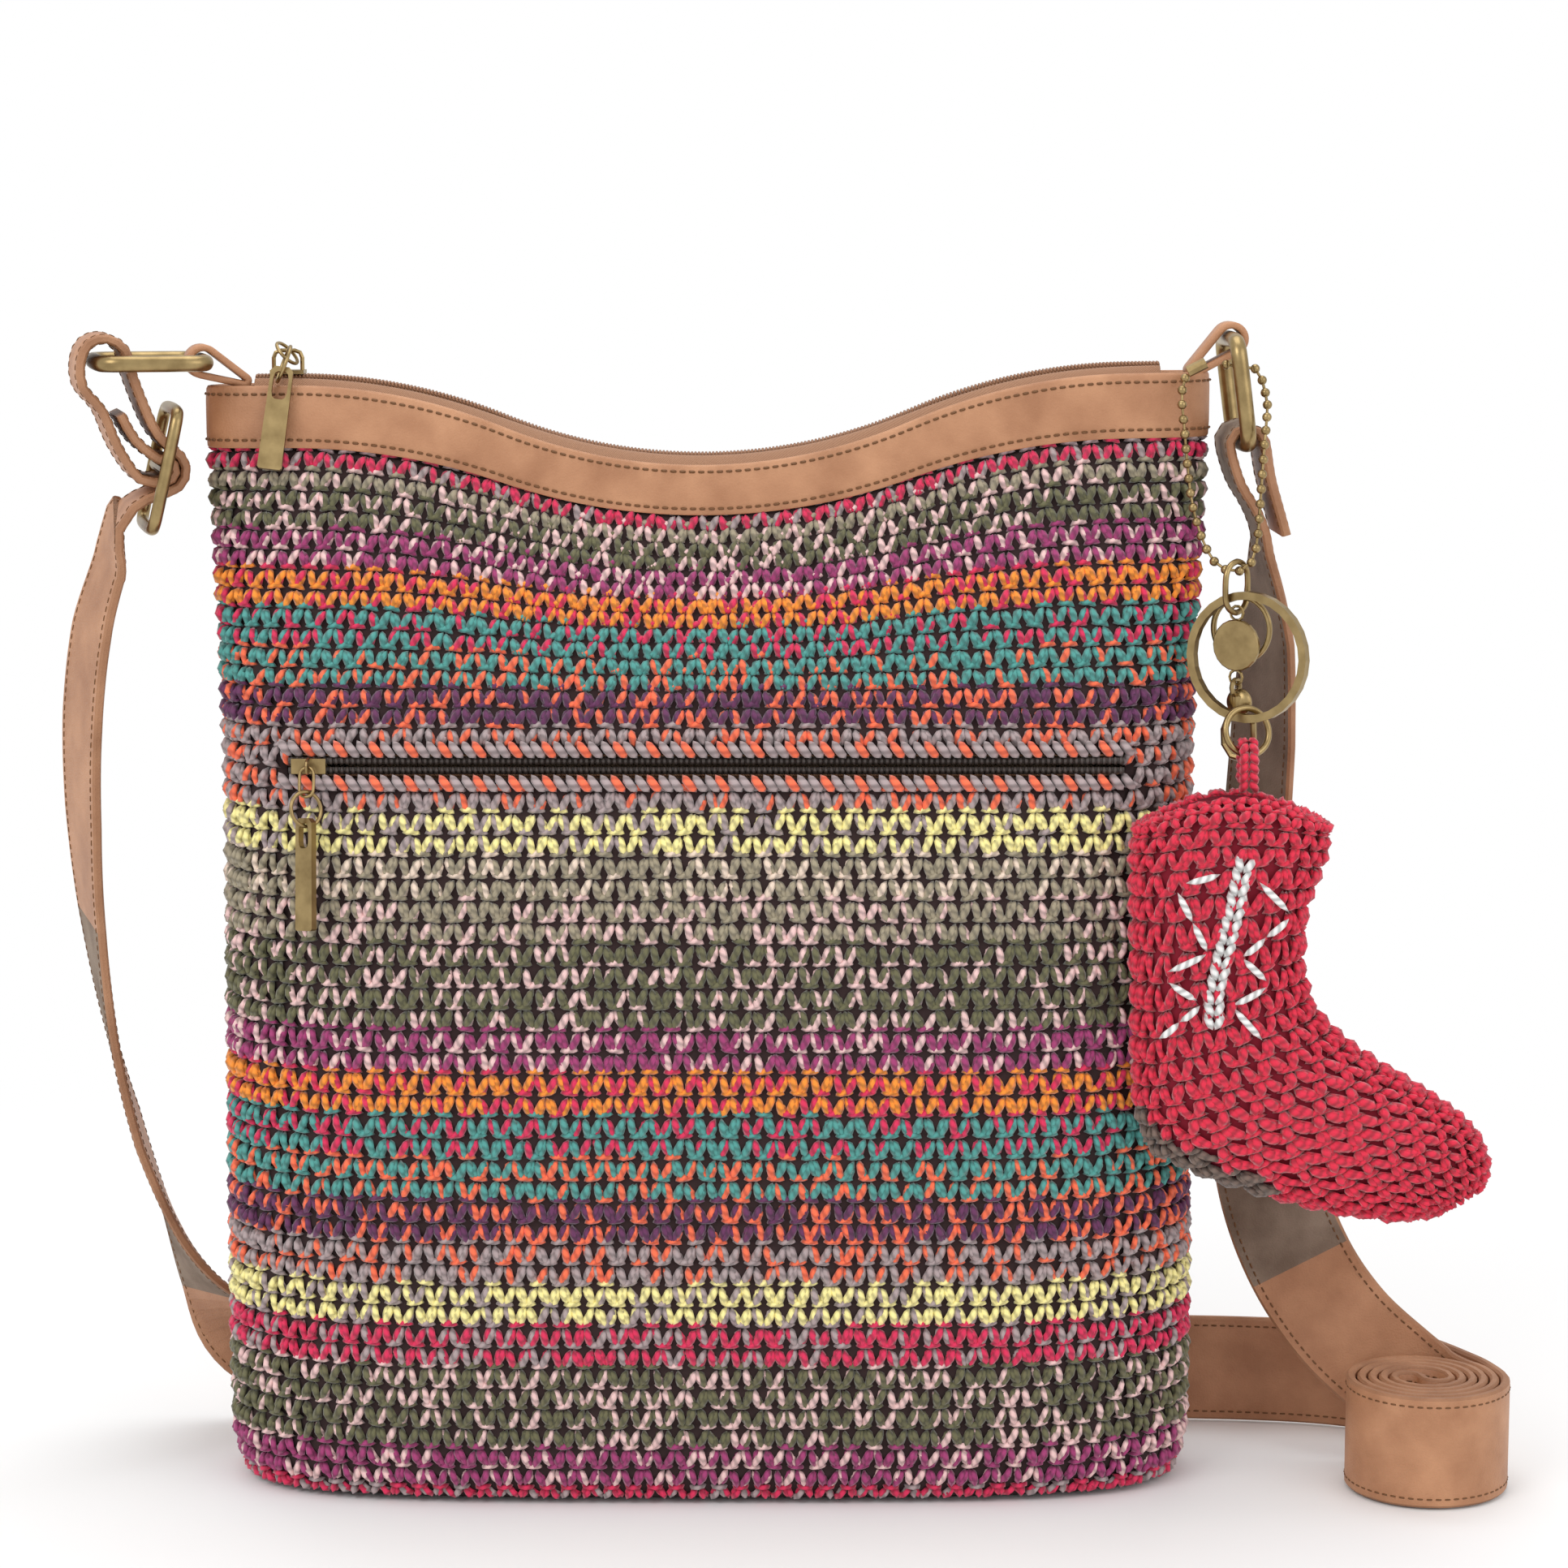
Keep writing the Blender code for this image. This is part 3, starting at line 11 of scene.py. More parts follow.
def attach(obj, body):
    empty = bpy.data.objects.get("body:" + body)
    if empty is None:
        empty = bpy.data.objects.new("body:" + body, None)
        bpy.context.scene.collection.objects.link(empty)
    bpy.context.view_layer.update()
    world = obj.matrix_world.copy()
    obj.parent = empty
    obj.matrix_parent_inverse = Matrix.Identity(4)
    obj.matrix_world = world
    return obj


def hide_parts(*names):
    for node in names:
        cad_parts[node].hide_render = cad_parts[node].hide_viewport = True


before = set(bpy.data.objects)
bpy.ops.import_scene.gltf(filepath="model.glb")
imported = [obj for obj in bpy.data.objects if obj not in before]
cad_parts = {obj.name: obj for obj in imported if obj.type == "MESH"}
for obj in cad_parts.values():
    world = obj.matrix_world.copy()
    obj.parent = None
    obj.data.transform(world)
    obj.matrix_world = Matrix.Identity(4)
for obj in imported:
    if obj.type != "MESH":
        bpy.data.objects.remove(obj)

bl_info = {
    "name": "Crochet crossbody bag",
    "version": (1, 0, 0),
    "blender": (4, 5, 0),
    "location": "View3D > Sidebar > Bag",
    "description": "Dresses the crossbody bag in crochet stitches, leather, thread and metal",
    "category": "Object",
}

MM = 0.001
BODY_HEIGHT = 299 * MM
BAND_HEIGHT = 17.6 * MM
POCKET_HEIGHT = 211.5 * MM
POCKET_HALF_LENGTH = 116 * MM
ROWS_ABOVE_POCKET = 16
MOUTH_SAG = 23.7 * MM
ROW_SAG = 20 * MM
DIP_END = 118 * MM
DIP_TURN = 57 * MM
SAG_START = 225 * MM
RIGHT_LIFT = 1.6 * MM
COIL_LIFT = 1.9 * MM
MAIN_TEETH = 254
POCKET_TEETH = 150
STITCH_INSET = 1.6 * MM
BAND_GAP = 0.31 * MM
BASE_ROW_RAISE = 1.4 * MM
LIP_OFFSET = 4.6 * MM
POCKET_ZIP_Y = -33.2 * MM
STRAP_STATION = 3.2 * MM
THREAD_INSET = 2.6 * MM
BAND_THREAD_INSET = 2.3 * MM
WELD = 1e-6
FRONT = Vector((0, -1, 0))
UP = Vector((0, 0, 1))

WIDTH_PROFILE = (
    (0, 133), (6, 136.5), (16, 138.5), (60, 138.5), (200, 137), (240, 138), (299, 140.5), (320, 140.5),
)
FRONT_PROFILE = (
    (0, 33), (6, 37.5), (16, 40), (45, 43), (90, 44.5), (150, 43), (211, 36.5), (260, 23.5), (299, 12.5),
    (320, 11),
)
BACK_PROFILE = (
    (0, 32), (6, 35), (16, 36.5), (45, 38), (90, 40), (150, 40), (211, 35), (260, 23.5), (299, 12.5),
    (320, 11),
)
END_POWER = ((0, 4.5), (60, 4.5), (150, 6), (211, 8), (299, 16), (320, 18))
SIDE_POWER = ((0, 2.4), (211, 2.4), (299, 2.0), (320, 2.0))

# Each stripe: main yarn, accent yarn and number of rows, from the top down.
STRIPES = (
    ("crimson", "mauve", 1), ("taupe", "pink", 1), ("olive", "pink", 2), ("purple", "pink", 2),
    ("orange", "crimson", 2), ("teal", "crimson", 2), ("teal", "coral", 2), ("plum", "coral", 2),
    ("mauve", "coral", 2),
    ("mauve", "coral", 2), ("yellow", "mauve", 2), ("taupe", "cream", 2), ("taupe", "pink", 2),
    ("olive", "pink", 4), ("purple", "pink", 2), ("orange", "crimson", 2), ("teal", "crimson", 2),
    ("teal", "coral", 2), ("plum", "coral", 2), ("mauve", "coral", 2), ("yellow", "mauve", 2),
    ("crimson", "mauve", 2), ("olive", "pink", 4), ("purple", "pink", 2), ("crimson", "mauve", 1),
)
YARNS = {
    "crimson": (0.66, 0.014, 0.085), "mauve": (0.38, 0.30, 0.30), "taupe": (0.33, 0.28, 0.19),
    "cream": (0.78, 0.62, 0.50), "pink": (0.78, 0.52, 0.50), "olive": (0.125, 0.118, 0.052),
    "purple": (0.33, 0.03, 0.145), "orange": (0.85, 0.27, 0.02), "teal": (0.07, 0.31, 0.28),
    "coral": (1.0, 0.15, 0.06), "plum": (0.115, 0.018, 0.085), "yellow": (0.90, 0.80, 0.33),
}


def srgb(*values):
    """A linear colour from 0-255 display values."""
    return tuple((v / 255) ** 2.2 for v in values)


# Materials


def shader_of(material):
    return material.node_tree.nodes["Principled BSDF"]


def new_material(name, colour, roughness, metallic=0.0, sheen=0.0):
    material = bpy.data.materials.new(name)
    material.use_nodes = True
    shader = shader_of(material)
    shader.inputs["Base Color"].default_value = (*colour, 1)
    shader.inputs["Roughness"].default_value = roughness
    shader.inputs["Metallic"].default_value = metallic
    shader.inputs["Sheen Weight"].default_value = sheen
    return material


def add_node(tree, kind, **settings):
    """A new node, with each setting given to its input of that name or else to the node itself."""
    node = tree.nodes.new(kind)
    for name, value in settings.items():
        if name in node.inputs:
            node.inputs[name].default_value = value
        else:
            setattr(node, name, value)
    return node


class ToneGroup:
    """A node group that mixes two colours by a factor and turns a height into a bump."""

    def __init__(self, name, bump_distance, **numbers):
        self.group = bpy.data.node_groups.new(name, "ShaderNodeTree")
        interface = self.group.interface
        for label in ("Dark", "Light"):
            interface.new_socket(label, in_out="INPUT", socket_type="NodeSocketColor")
        for label, value in numbers.items():
            socket = interface.new_socket(socket_label(label), in_out="INPUT", socket_type="NodeSocketFloat")
            socket.default_value = value
        interface.new_socket("Color", in_out="OUTPUT", socket_type="NodeSocketColor")
        interface.new_socket("Normal", in_out="OUTPUT", socket_type="NodeSocketVector")
        self.given = self.node("NodeGroupInput")
        result = self.node("NodeGroupOutput")
        self.mix = self.node("ShaderNodeMix", data_type="RGBA")
        self.bump = self.node("ShaderNodeBump", Strength=0.4, Distance=bump_distance)
        colour_inputs = [socket for socket in self.mix.inputs if socket.type == "RGBA"]
        colour_output = next(socket for socket in self.mix.outputs if socket.type == "RGBA")
        self.join(self.given.outputs["Dark"], colour_inputs[0])
        self.join(self.given.outputs["Light"], colour_inputs[1])
        self.join(colour_output, result.inputs["Color"])
        self.join(self.bump.outputs["Normal"], result.inputs["Normal"])

    def node(self, kind, **settings):
        return add_node(self.group, kind, **settings)

    def join(self, source, target):
        self.group.links.new(source, target)

    def drive(self, factor, height):
        self.join(factor, self.mix.inputs["Factor"])
        self.join(height, self.bump.inputs["Height"])
        return self.group


def socket_label(name):
    return name.replace("_", " ").capitalize()


def grain_group():
    """Leather and metal: coarse noise for the tone and fine noise for the bump, in object space."""
    made = ToneGroup("grain", 0.4 * MM, tone_scale=60, bump_scale=1400, strength=0.2)
    coords = made.node("ShaderNodeTexCoord")
    tone = made.node("ShaderNodeTexNoise", Detail=5)
    fine = made.node("ShaderNodeTexNoise", Detail=4)
    spread = made.node("ShaderNodeMapRange")
    spread.inputs["From Min"].default_value = 0.32
    spread.inputs["From Max"].default_value = 0.68
    for texture, scale in ((tone, "Tone scale"), (fine, "Bump scale")):
        made.join(coords.outputs["Object"], texture.inputs["Vector"])
        made.join(made.given.outputs[scale], texture.inputs["Scale"])
    made.join(made.given.outputs["Strength"], made.bump.inputs["Strength"])
    made.join(tone.outputs["Fac"], spread.inputs["Value"])
    return made.drive(spread.outputs["Result"], fine.outputs["Fac"])


def ply_shade_group():
    """Plied yarn: a wave along each strand gives painted shade in the grooves between the ply strands and
    painted highlight on their crests, and the same wave as a bump.
    """
    made = ToneGroup("ply_shade", 0.3 * MM)
    ply = made.node("ShaderNodeAttribute", attribute_name="ply")
    wave = made.node("ShaderNodeMath", operation="SINE")
    level = made.node("ShaderNodeMapRange")
    level.inputs["From Min"].default_value = -1
    level.inputs["From Max"].default_value = 0.6
    made.join(ply.outputs["Fac"], wave.inputs[0])
    made.join(wave.outputs[0], level.inputs["Value"])
    return made.drive(level.outputs["Result"], level.outputs["Result"])


def weave_group():
    """Twill cloth: slanted waves in object space."""
    made = ToneGroup("weave", 0.3 * MM, scale=900)
    coords = made.node("ShaderNodeTexCoord")
    wave = made.node("ShaderNodeTexWave", bands_direction="DIAGONAL")
    made.join(coords.outputs["Object"], wave.inputs["Vector"])
    made.join(made.given.outputs["Scale"], wave.inputs["Scale"])
    return made.drive(wave.outputs["Fac"], wave.outputs["Fac"])


def grouped_material(name, group, dark, light, roughness, metallic=0.0, sheen=0.0, **values):
    """A material whose colour and bump come from one of the shared groups."""
    material = new_material(name, light, roughness, metallic, sheen)
    tree, shader = material.node_tree, shader_of(material)
    node = add_node(tree, "ShaderNodeGroup", node_tree=group)
    node.inputs["Dark"].default_value = (*dark, 1)
    node.inputs["Light"].default_value = (*light, 1)
    for label, value in values.items():
        node.inputs[socket_label(label)].default_value = value
    tree.links.new(node.outputs["Color"], shader.inputs["Base Color"])
    tree.links.new(node.outputs["Normal"], shader.inputs["Normal"])
    return material


def shade(colour, share):
    return tuple(min(1.0, c * share) for c in colour)


# Mesh helpers


def new_object(name, mesh, materials, body, nodes=()):
    obj = bpy.data.objects.new(name, mesh)
    bpy.context.scene.collection.objects.link(obj)
    for material in materials:
        mesh.materials.append(material)
    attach(obj, body)
    if nodes:
        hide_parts(*nodes)
    return obj


def mesh_of(mesh_data, name):
    """A mesh made from a bmesh, which is then freed."""
    mesh = bpy.data.meshes.new(name)
    mesh_data.to_mesh(mesh)
    mesh_data.free()
    return mesh


def repaint(node, material):
    """Gives a kept node this one material."""
    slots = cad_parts[node].data.materials
    slots.clear()
    slots.append(material)


def running_lengths(points):
    lengths = [0.0]
    for a, b in zip(points, points[1:]):
        lengths.append(lengths[-1] + (b - a).length)
    return lengths


def spread_points(points, lengths, distances):
    """The point at each distance along a line, with the index of its segment; distances rise."""
    i, found = 0, []
    for distance in distances:
        while lengths[i + 1] < distance:
            i += 1
        share = (distance - lengths[i]) / (lengths[i + 1] - lengths[i])
        found.append((points[i].lerp(points[i + 1], share), i))
    return found


def spline(keys, spacing):
    """Close points on a smooth curve through the keys, each with its segment and share of it."""
    points = []
    for i, (start, end) in enumerate(zip(keys, keys[1:])):
        before = keys[i - 1] if i else start * 2 - end
        after = keys[i + 2] if i + 2 < len(keys) else end * 2 - start
        count = max(1, round((end - start).length / spacing))
        for step in range(count):
            t = step / count
            square = (2 * before - 5 * start + 4 * end - after) * t ** 2
            cube = (3 * start - before - 3 * end + after) * t ** 3
            points.append((0.5 * ((2 * start) + (end - before) * t + square + cube), i, t))
    points.append((keys[-1], len(keys) - 2, 1.0))
    return points


def smooth(mesh, degrees=50):
    mesh.shade_smooth()
    mesh.set_sharp_from_angle(angle=math.radians(degrees))


PLY_TURNS = 2.6


class Strands:
    """Many short plump strands gathered into one mesh."""

    def __init__(self):
        self.verts = []
        self.faces = []
        self.slots = []
        self.ply = []

    def add(self, path, normal, width, thickness, slot, sides=5):
        """A strand along a path, pointed at both ends and widest in the middle."""
        count = len(path)
        start = len(self.verts)
        reach = sum((b - a).length for a, b in zip(path, path[1:]))
        travelled = 0.0
        self.verts.append(path[0])
        self.ply.append(0.0)
        for i in range(1, count - 1):
            tangent = (path[i + 1] - path[i - 1]).normalized()
            side = tangent.cross(normal).normalized()
            out = side.cross(tangent)
            travelled += (path[i] - path[i - 1]).length
            share = travelled / reach
            fullness = 0.72 + 0.28 * math.sin(math.pi * share)
            for k in range(sides):
                turn = 2 * math.pi * k / sides
                across = side * (math.cos(turn) * width * fullness)
                self.verts.append(path[i] + (across + out * (math.sin(turn) * thickness * fullness)))
                self.ply.append(travelled / MM * PLY_TURNS + 2 * math.cos(turn))
        self.verts.append(path[-1])
        self.ply.append(reach / MM * PLY_TURNS)
        last = len(self.verts) - 1
        rings = count - 2
        for k in range(sides):
            j = (k + 1) % sides
            self.faces.append((start, start + 1 + j, start + 1 + k))
            for ring in range(rings - 1):
                a = start + 1 + ring * sides
                b = a + sides
                self.faces.append((a + k, a + j, b + j, b + k))
            a = start + 1 + (rings - 1) * sides
            self.faces.append((last, a + k, a + j))
        self.slots += [slot] * (len(self.faces) - len(self.slots))

    def mesh(self, name):
        mesh = bpy.data.meshes.new(name)
        mesh.from_pydata([tuple(v) for v in self.verts], [], self.faces)
        mesh.polygons.foreach_set("material_index", self.slots)
        mesh.polygons.foreach_set("use_smooth", [True] * len(self.faces))
        layer = mesh.attributes.new("ply", "FLOAT", "POINT")
        layer.data.foreach_set("value", self.ply)
        mesh.update()
        return mesh


def loft_mesh(name, rings, closed_path=False, slots=None):
    """A skin through rings of equally many points; slots holds one row of material indices a level."""
    mesh_data = bmesh.new()
    loops = [[mesh_data.verts.new(point) for point in ring] for ring in rings]
    pairs = list(zip(loops, loops[1:]))
    if closed_path:
        pairs.append((loops[-1], loops[0]))
    for level, (low, high) in enumerate(pairs):
        count = len(low)
        for i in range(count):
            j = (i + 1) % count
            face = mesh_data.faces.new((low[i], low[j], high[j], high[i]))
            if slots:
                face.material_index = slots[level][i]
    if not closed_path:
        mesh_data.faces.new(loops[0])
        mesh_data.faces.new(loops[-1])
    bmesh.ops.recalc_face_normals(mesh_data, faces=mesh_data.faces)
    return mesh_of(mesh_data, name)


def refined(name, node, material, body, levels=1, crease=50):
    """A smoother copy of a node, with its long triangles joined back into quads first."""
    mesh_data = bmesh.new()
    mesh_data.from_mesh(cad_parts[node].data)
    bmesh.ops.remove_doubles(mesh_data, verts=mesh_data.verts, dist=WELD)
    bmesh.ops.join_triangles(mesh_data, faces=mesh_data.faces, angle_face_threshold=math.radians(40),
                             angle_shape_threshold=math.radians(80))
    if crease:
        layer = mesh_data.edges.layers.float.new("crease_edge")
        for edge in mesh_data.edges:
            if len(edge.link_faces) == 2 and edge.calc_face_angle(0) > math.radians(crease):
                edge[layer] = 0.75
    mesh = mesh_of(mesh_data, name)
    obj = new_object(name, mesh, [material], body, (node,))
    modifier = obj.modifiers.new("Subdivision", "SUBSURF")
    modifier.levels = levels
    modifier.render_levels = levels
    mesh.shade_smooth()


# Shape of the bag


def profile(table, height):
    h = height / MM
    for (h0, v0), (h1, v1) in zip(table, table[1:]):
        if h <= h1:
            return v0 + (v1 - v0) * max(0.0, h - h0) / (h1 - h0)
    return table[-1][1]


def dip(x):
    slope = 2 * math.atan(MOUTH_SAG / DIP_END)
    outer = (DIP_END - DIP_TURN) / math.sin(slope)
    inner = DIP_TURN / math.sin(slope)
    reach = abs(x)
    if reach >= DIP_END:
        return 0.0
    if reach >= DIP_TURN:
        return (outer - math.sqrt(outer ** 2 - (DIP_END - reach) ** 2)) / MOUTH_SAG
    return 1 - (inner - math.sqrt(inner ** 2 - reach ** 2)) / MOUTH_SAG


def sag(height):
    if height <= SAG_START:
        return 0.0
    if height <= BODY_HEIGHT:
        return ROW_SAG * ((height - SAG_START) / (BODY_HEIGHT - SAG_START)) ** 1.25
    return ROW_SAG + (MOUTH_SAG - ROW_SAG) * (height - BODY_HEIGHT) / BAND_HEIGHT


def lift(x, height):
    share = max(0.0, height - SAG_START) / (BODY_HEIGHT - SAG_START)
    return RIGHT_LIFT * share * x / (profile(WIDTH_PROFILE, height) * MM)


def wall_outline(height, inset):
    """Close points round the wall, from the middle of the back over the left end and the front."""
    half_width = profile(WIDTH_PROFILE, height) * MM - inset
    ends, sides = profile(END_POWER, height), profile(SIDE_POWER, height)
    shares = {i / 100 for i in range(1, 101)}
    shares |= {(1 - (j / 40) ** sides) ** (1 / ends) for j in range(40)}
    shares = sorted(shares)

    def at(share, table):
        depth = profile(table, height) * MM - inset
        x = half_width * share
        y = depth * (1 - abs(share) ** ends) ** (1 / sides)
        z = height - sag(height) * dip(x) + lift(x, height)
        return Vector((x, y if table is BACK_PROFILE else -y, z))

    points = [at(-share, BACK_PROFILE) for share in [0.0] + shares]
    points += [at(-share, FRONT_PROFILE) for share in shares[-2::-1]]
    points += [at(share, FRONT_PROFILE) for share in [0.0] + shares]
    return points + [at(share, BACK_PROFILE) for share in shares[-2::-1]]


def wall_ring(height, inset, count):
    """Points at even spacing round the wall, starting in the middle of the back."""
    points = wall_outline(height, inset)
    points.append(points[0])
    lengths = running_lengths(points)
    targets = [lengths[-1] * step / count for step in range(count)]
    return [point for point, segment in spread_points(points, lengths, targets)]


def row_list():
    """For each row from the top down: the heights of its upper and lower edges and its yarns."""
    names = [(main, accent) for main, accent, count in STRIPES for _ in range(count)]
    upper = (BODY_HEIGHT - POCKET_HEIGHT) / ROWS_ABOVE_POCKET
    lower = POCKET_HEIGHT / (len(names) - ROWS_ABOVE_POCKET)
    edges = [BODY_HEIGHT - upper * i for i in range(ROWS_ABOVE_POCKET)]
    edges += [POCKET_HEIGHT - lower * i for i in range(len(names) - ROWS_ABOVE_POCKET + 1)]
    return [(high, max(low, 0.0), *yarn) for high, low, yarn in zip(edges, edges[1:], names)]


def stitch(strands, centre, along, up, out, width, height, main, accent, dice):
    """One crochet stitch: two legs of twisted yarn that spread downward, under a plump loop."""

    def at(x, y, z):
        return centre + along * (x * width) + up * (y * height) + out * (z * MM)

    for side in (-1, 1):
        shift = dice.uniform(-0.05, 0.05)
        drop = dice.uniform(-0.07, 0.07)
        phase = dice.uniform(0, 2 * math.pi)
        colours = (main, accent) if dice.random() < 0.6 else (main, main)
        for k, colour in enumerate(colours):
            path = []
            for t in (0, 0.25, 0.5, 0.75, 1):
                turn = phase + math.pi * k + 2.4 * t
                across = side * (0.07 + 0.36 * t) + shift + 0.08 * math.cos(turn)
                proud = -0.7 + 2.0 * math.sin(math.pi * t) + 0.55 * math.sin(turn)
                path.append(at(across, 0.40 - 1.02 * t + drop, proud))
            strands.add(path, out, 0.165 * width, 1.15 * MM, colour, sides=4)
    colour = main if dice.random() < 0.6 else accent
    lean = dice.uniform(-0.10, 0.10)
    path = [at(-0.42, 0.40 - lean, -0.6), at(-0.22, 0.50 - lean / 2, 0.7), at(0.02, 0.54, 1.1),
            at(0.25, 0.50 + lean / 2, 0.6), at(0.44, 0.38 + lean, -0.6)]
    strands.add(path, out, 0.17 * height, 1.0 * MM, colour, sides=4)


def braid(strands, path, outs, pitch, width, thick, colours, dice):
    """A chain of slanted strands along a path."""
    lengths = running_lengths(path)

    def at(distance):
        distance = min(max(distance, 0), lengths[-1] - 1e-9)
        i = next(k for k in range(len(path) - 1) if lengths[k + 1] > distance)
        share = (distance - lengths[i]) / (lengths[i + 1] - lengths[i])
        return path[i].lerp(path[i + 1], share), outs[i], (path[i + 1] - path[i]).normalized()

    for step in range(int(lengths[-1] / pitch)):
        point, out, tangent = at((step + 0.5) * pitch)
        side = out.cross(tangent)
        for sign in (-1, 1):
            a = point - tangent * (pitch * 0.75) + side * (sign * width * 0.55)
            b = point + tangent * (pitch * 0.75) + side * (sign * width * 0.05)
            middle = (a + b) / 2 + out * thick
            swell = out * (thick * 0.2)
            strands.add([a, a.lerp(middle, 0.5) + swell, middle, b.lerp(middle, 0.5) + swell, b],
                        out, width * 0.24, thick * 0.75, dice.choice(colours), sides=4)


# Paths of the leather strap

LEFT_YAW = math.radians(14)
RIGHT_TILT = math.radians(7.5)
RING_LENGTH = 29.5 * MM
STRAP_WIDTH = 32 * MM
STRAP_THICKNESS = 2.5 * MM
TAB_WIDTH = 11 * MM
TAB_THICKNESS = 1.9 * MM
TAB_FOLD = 3.85 * MM
TAB_CORNER = 0.45 * MM
LEFT_BAR = Vector((-141.8, -3.2, 321.8)) * MM
RIGHT_BAR = Vector((146.8, 0, 328.0)) * MM
RUN_DOWN = (
    ((-168.5, -4, 266), (0.40, -0.92, 0.0)), ((-174.5, -4, 246), (0.45, -0.89, 0.0)),
    ((-178, -3, 220), (0.45, -0.89, 0.0)), ((-179, 0, 192), (0.42, -0.91, 0.0)),
    ((-178, 4, 162), (0.34, -0.94, 0.0)), ((-174.5, 10, 128), (0.22, -0.97, 0.05)),
    ((-168.5, 17, 97), (0.12, -0.97, 0.12)), ((-160, 25.5, 67), (0.10, -0.90, 0.35)),
    ((-150, 34.5, 43), (0.10, -0.72, 0.65)), ((-138, 41, 26.5), (0.10, -0.35, 0.92)),
    ((-120, 43.5, 18.5), (0.0, -0.05, 1.0)), ((-95, 44, 16.5), (0.0, 0.0, 1.0)),
    ((0, 44.5, 16.5), (0.0, 0.0, 1.0)), ((120, 44, 16.5), (0.0, 0.0, 1.0)),
    ((165, 41.5, 16.5), (0.0, 0.0, 1.0)), ((192, 35, 16.5), (0.0, 0.0, 1.0)),
    ((211, 22.5, 16.5), (0.0, 0.0, 1.0)), ((222.6, 3.4, 16.5), (0.0, 0.0, 1.0)),
    ((226.9, -7.5, 16.5), (0.0, 0.0, 1.0)),
)
RUN_UP = (
    ((223.9, -8.9, 16.5), (0.0, 0.0, 1.0)), ((219.2, -2.2, 16.6), (0.0, 0.0, 1.0)),
    ((210.8, 3.4, 18.8), (0.06, 0.05, 0.98)), ((200, 8.0, 26), (0.38, 0.10, 0.88)),
    ((186, 13, 38.5), (0.62, 0.08, 0.78)),
    ((174.5, 20.5, 55), (0.75, 0.0, 0.64)), ((165.5, 22, 78), (0.80, -0.3, 0.45)),
    ((160.5, 22, 105), (0.70, -0.60, 0.2)), ((158.5, 20, 140), (0.52, -0.83, 0.0)),
    ((158.5, 16, 180), (0.46, -0.88, 0.0)), ((159.5, 11, 215), (0.42, -0.90, 0.0)),
    ((159.5, 5, 245), (0.30, -0.95, 0.0)),
)


def strap_left():
    along = Vector((-math.cos(LEFT_YAW), -math.sin(LEFT_YAW), 0))
    across = Vector((math.sin(LEFT_YAW), -math.cos(LEFT_YAW), 0))
    bar = LEFT_BAR + along * (12.4 * MM) + Vector((0, 0, -29.6 * MM))
    ring = LEFT_BAR + along * RING_LENGTH

    def at(origin, left, up):
        return origin + along * (left * MM) + Vector((0, 0, up * MM))

    def turn(radius, degrees):
        return [at(bar, -radius * math.cos(a), radius * math.sin(a)) for a in map(math.radians, degrees)]

    wrap = 1.5 + 0.4 + STRAP_THICKNESS / 2 / MM
    points = [at(bar, 11.5, 15.5), at(bar, 7.8, 8.6)]
    points += turn(wrap, (112, 70, 30, -10, -50, -85))
    points += [at(bar, 6.5, -2.4), at(bar, 12.5, 6.5), at(bar, 16.5, 16.5), at(ring, 4.6, -6.5)]
    points += [at(ring, 5.0, 0.5), at(ring, 2.6, 5.4), at(ring, -2.4, 6.8), at(ring, -7.2, 3.6)]
    points += [at(ring, -8.9, -3)]
    points += [at(bar, 4.6, 16.5), at(bar, 1.2, 9.6)]
    points += turn(wrap + 2.9, (38, 10, -20, -50, -78))
    points += [at(bar, 5.6, -8.4), at(bar, 11.0, -13.4)]
    return points, [across] * len(points)


def strap_roll():
    centre = Vector((205, -18, 16.5)) * MM

    def spiral(radius, turns):
        points = []
        for i in range(round(turns * 14) + 1):
            angle = -2 * math.pi * i / 14
            reach = (radius - 6.2 * i / 14) * MM
            points.append(centre + Vector((reach * math.cos(angle), reach * math.sin(angle), 0)))
        return points

    inward = spiral(23.7, 2.5)
    outward = spiral(20.6, 2.0)[::-1]
    bend = []
    for end, sign in ((inward[-1] - centre, 1), (outward[0] - centre, -1)):
        normal = Vector((end.y, -end.x, 0)) / 2
        arc = [centre + end / 2 + end / 2 * math.cos(t) + normal * math.sin(t)
               for t in [math.pi * i / 6 for i in range(1, 6)]]
        bend += arc if sign > 0 else [centre] + arc[::-1]
    return inward + bend + outward


def strap_right():
    down = Vector((math.sin(RIGHT_TILT), 0, -math.cos(RIGHT_TILT)))
    bar = RIGHT_BAR + down * RING_LENGTH

    def at(right, up):
        return bar + Vector((right * MM, 0, up * MM))

    radius = 2.5 + 1.25 + STRAP_THICKNESS / 2 / MM
    points = [at(6.3, -29), at(3.2, -19), at(-1.6, -11)]
    for turn in map(math.radians, (205, 170, 130, 90, 50, 12)):
        points.append(at(radius * math.cos(turn), radius * math.sin(turn)))
    points += [at(6.6, -9), at(9.6, -19.5), at(11.2, -25)]
    return points, [FRONT] * len(points)


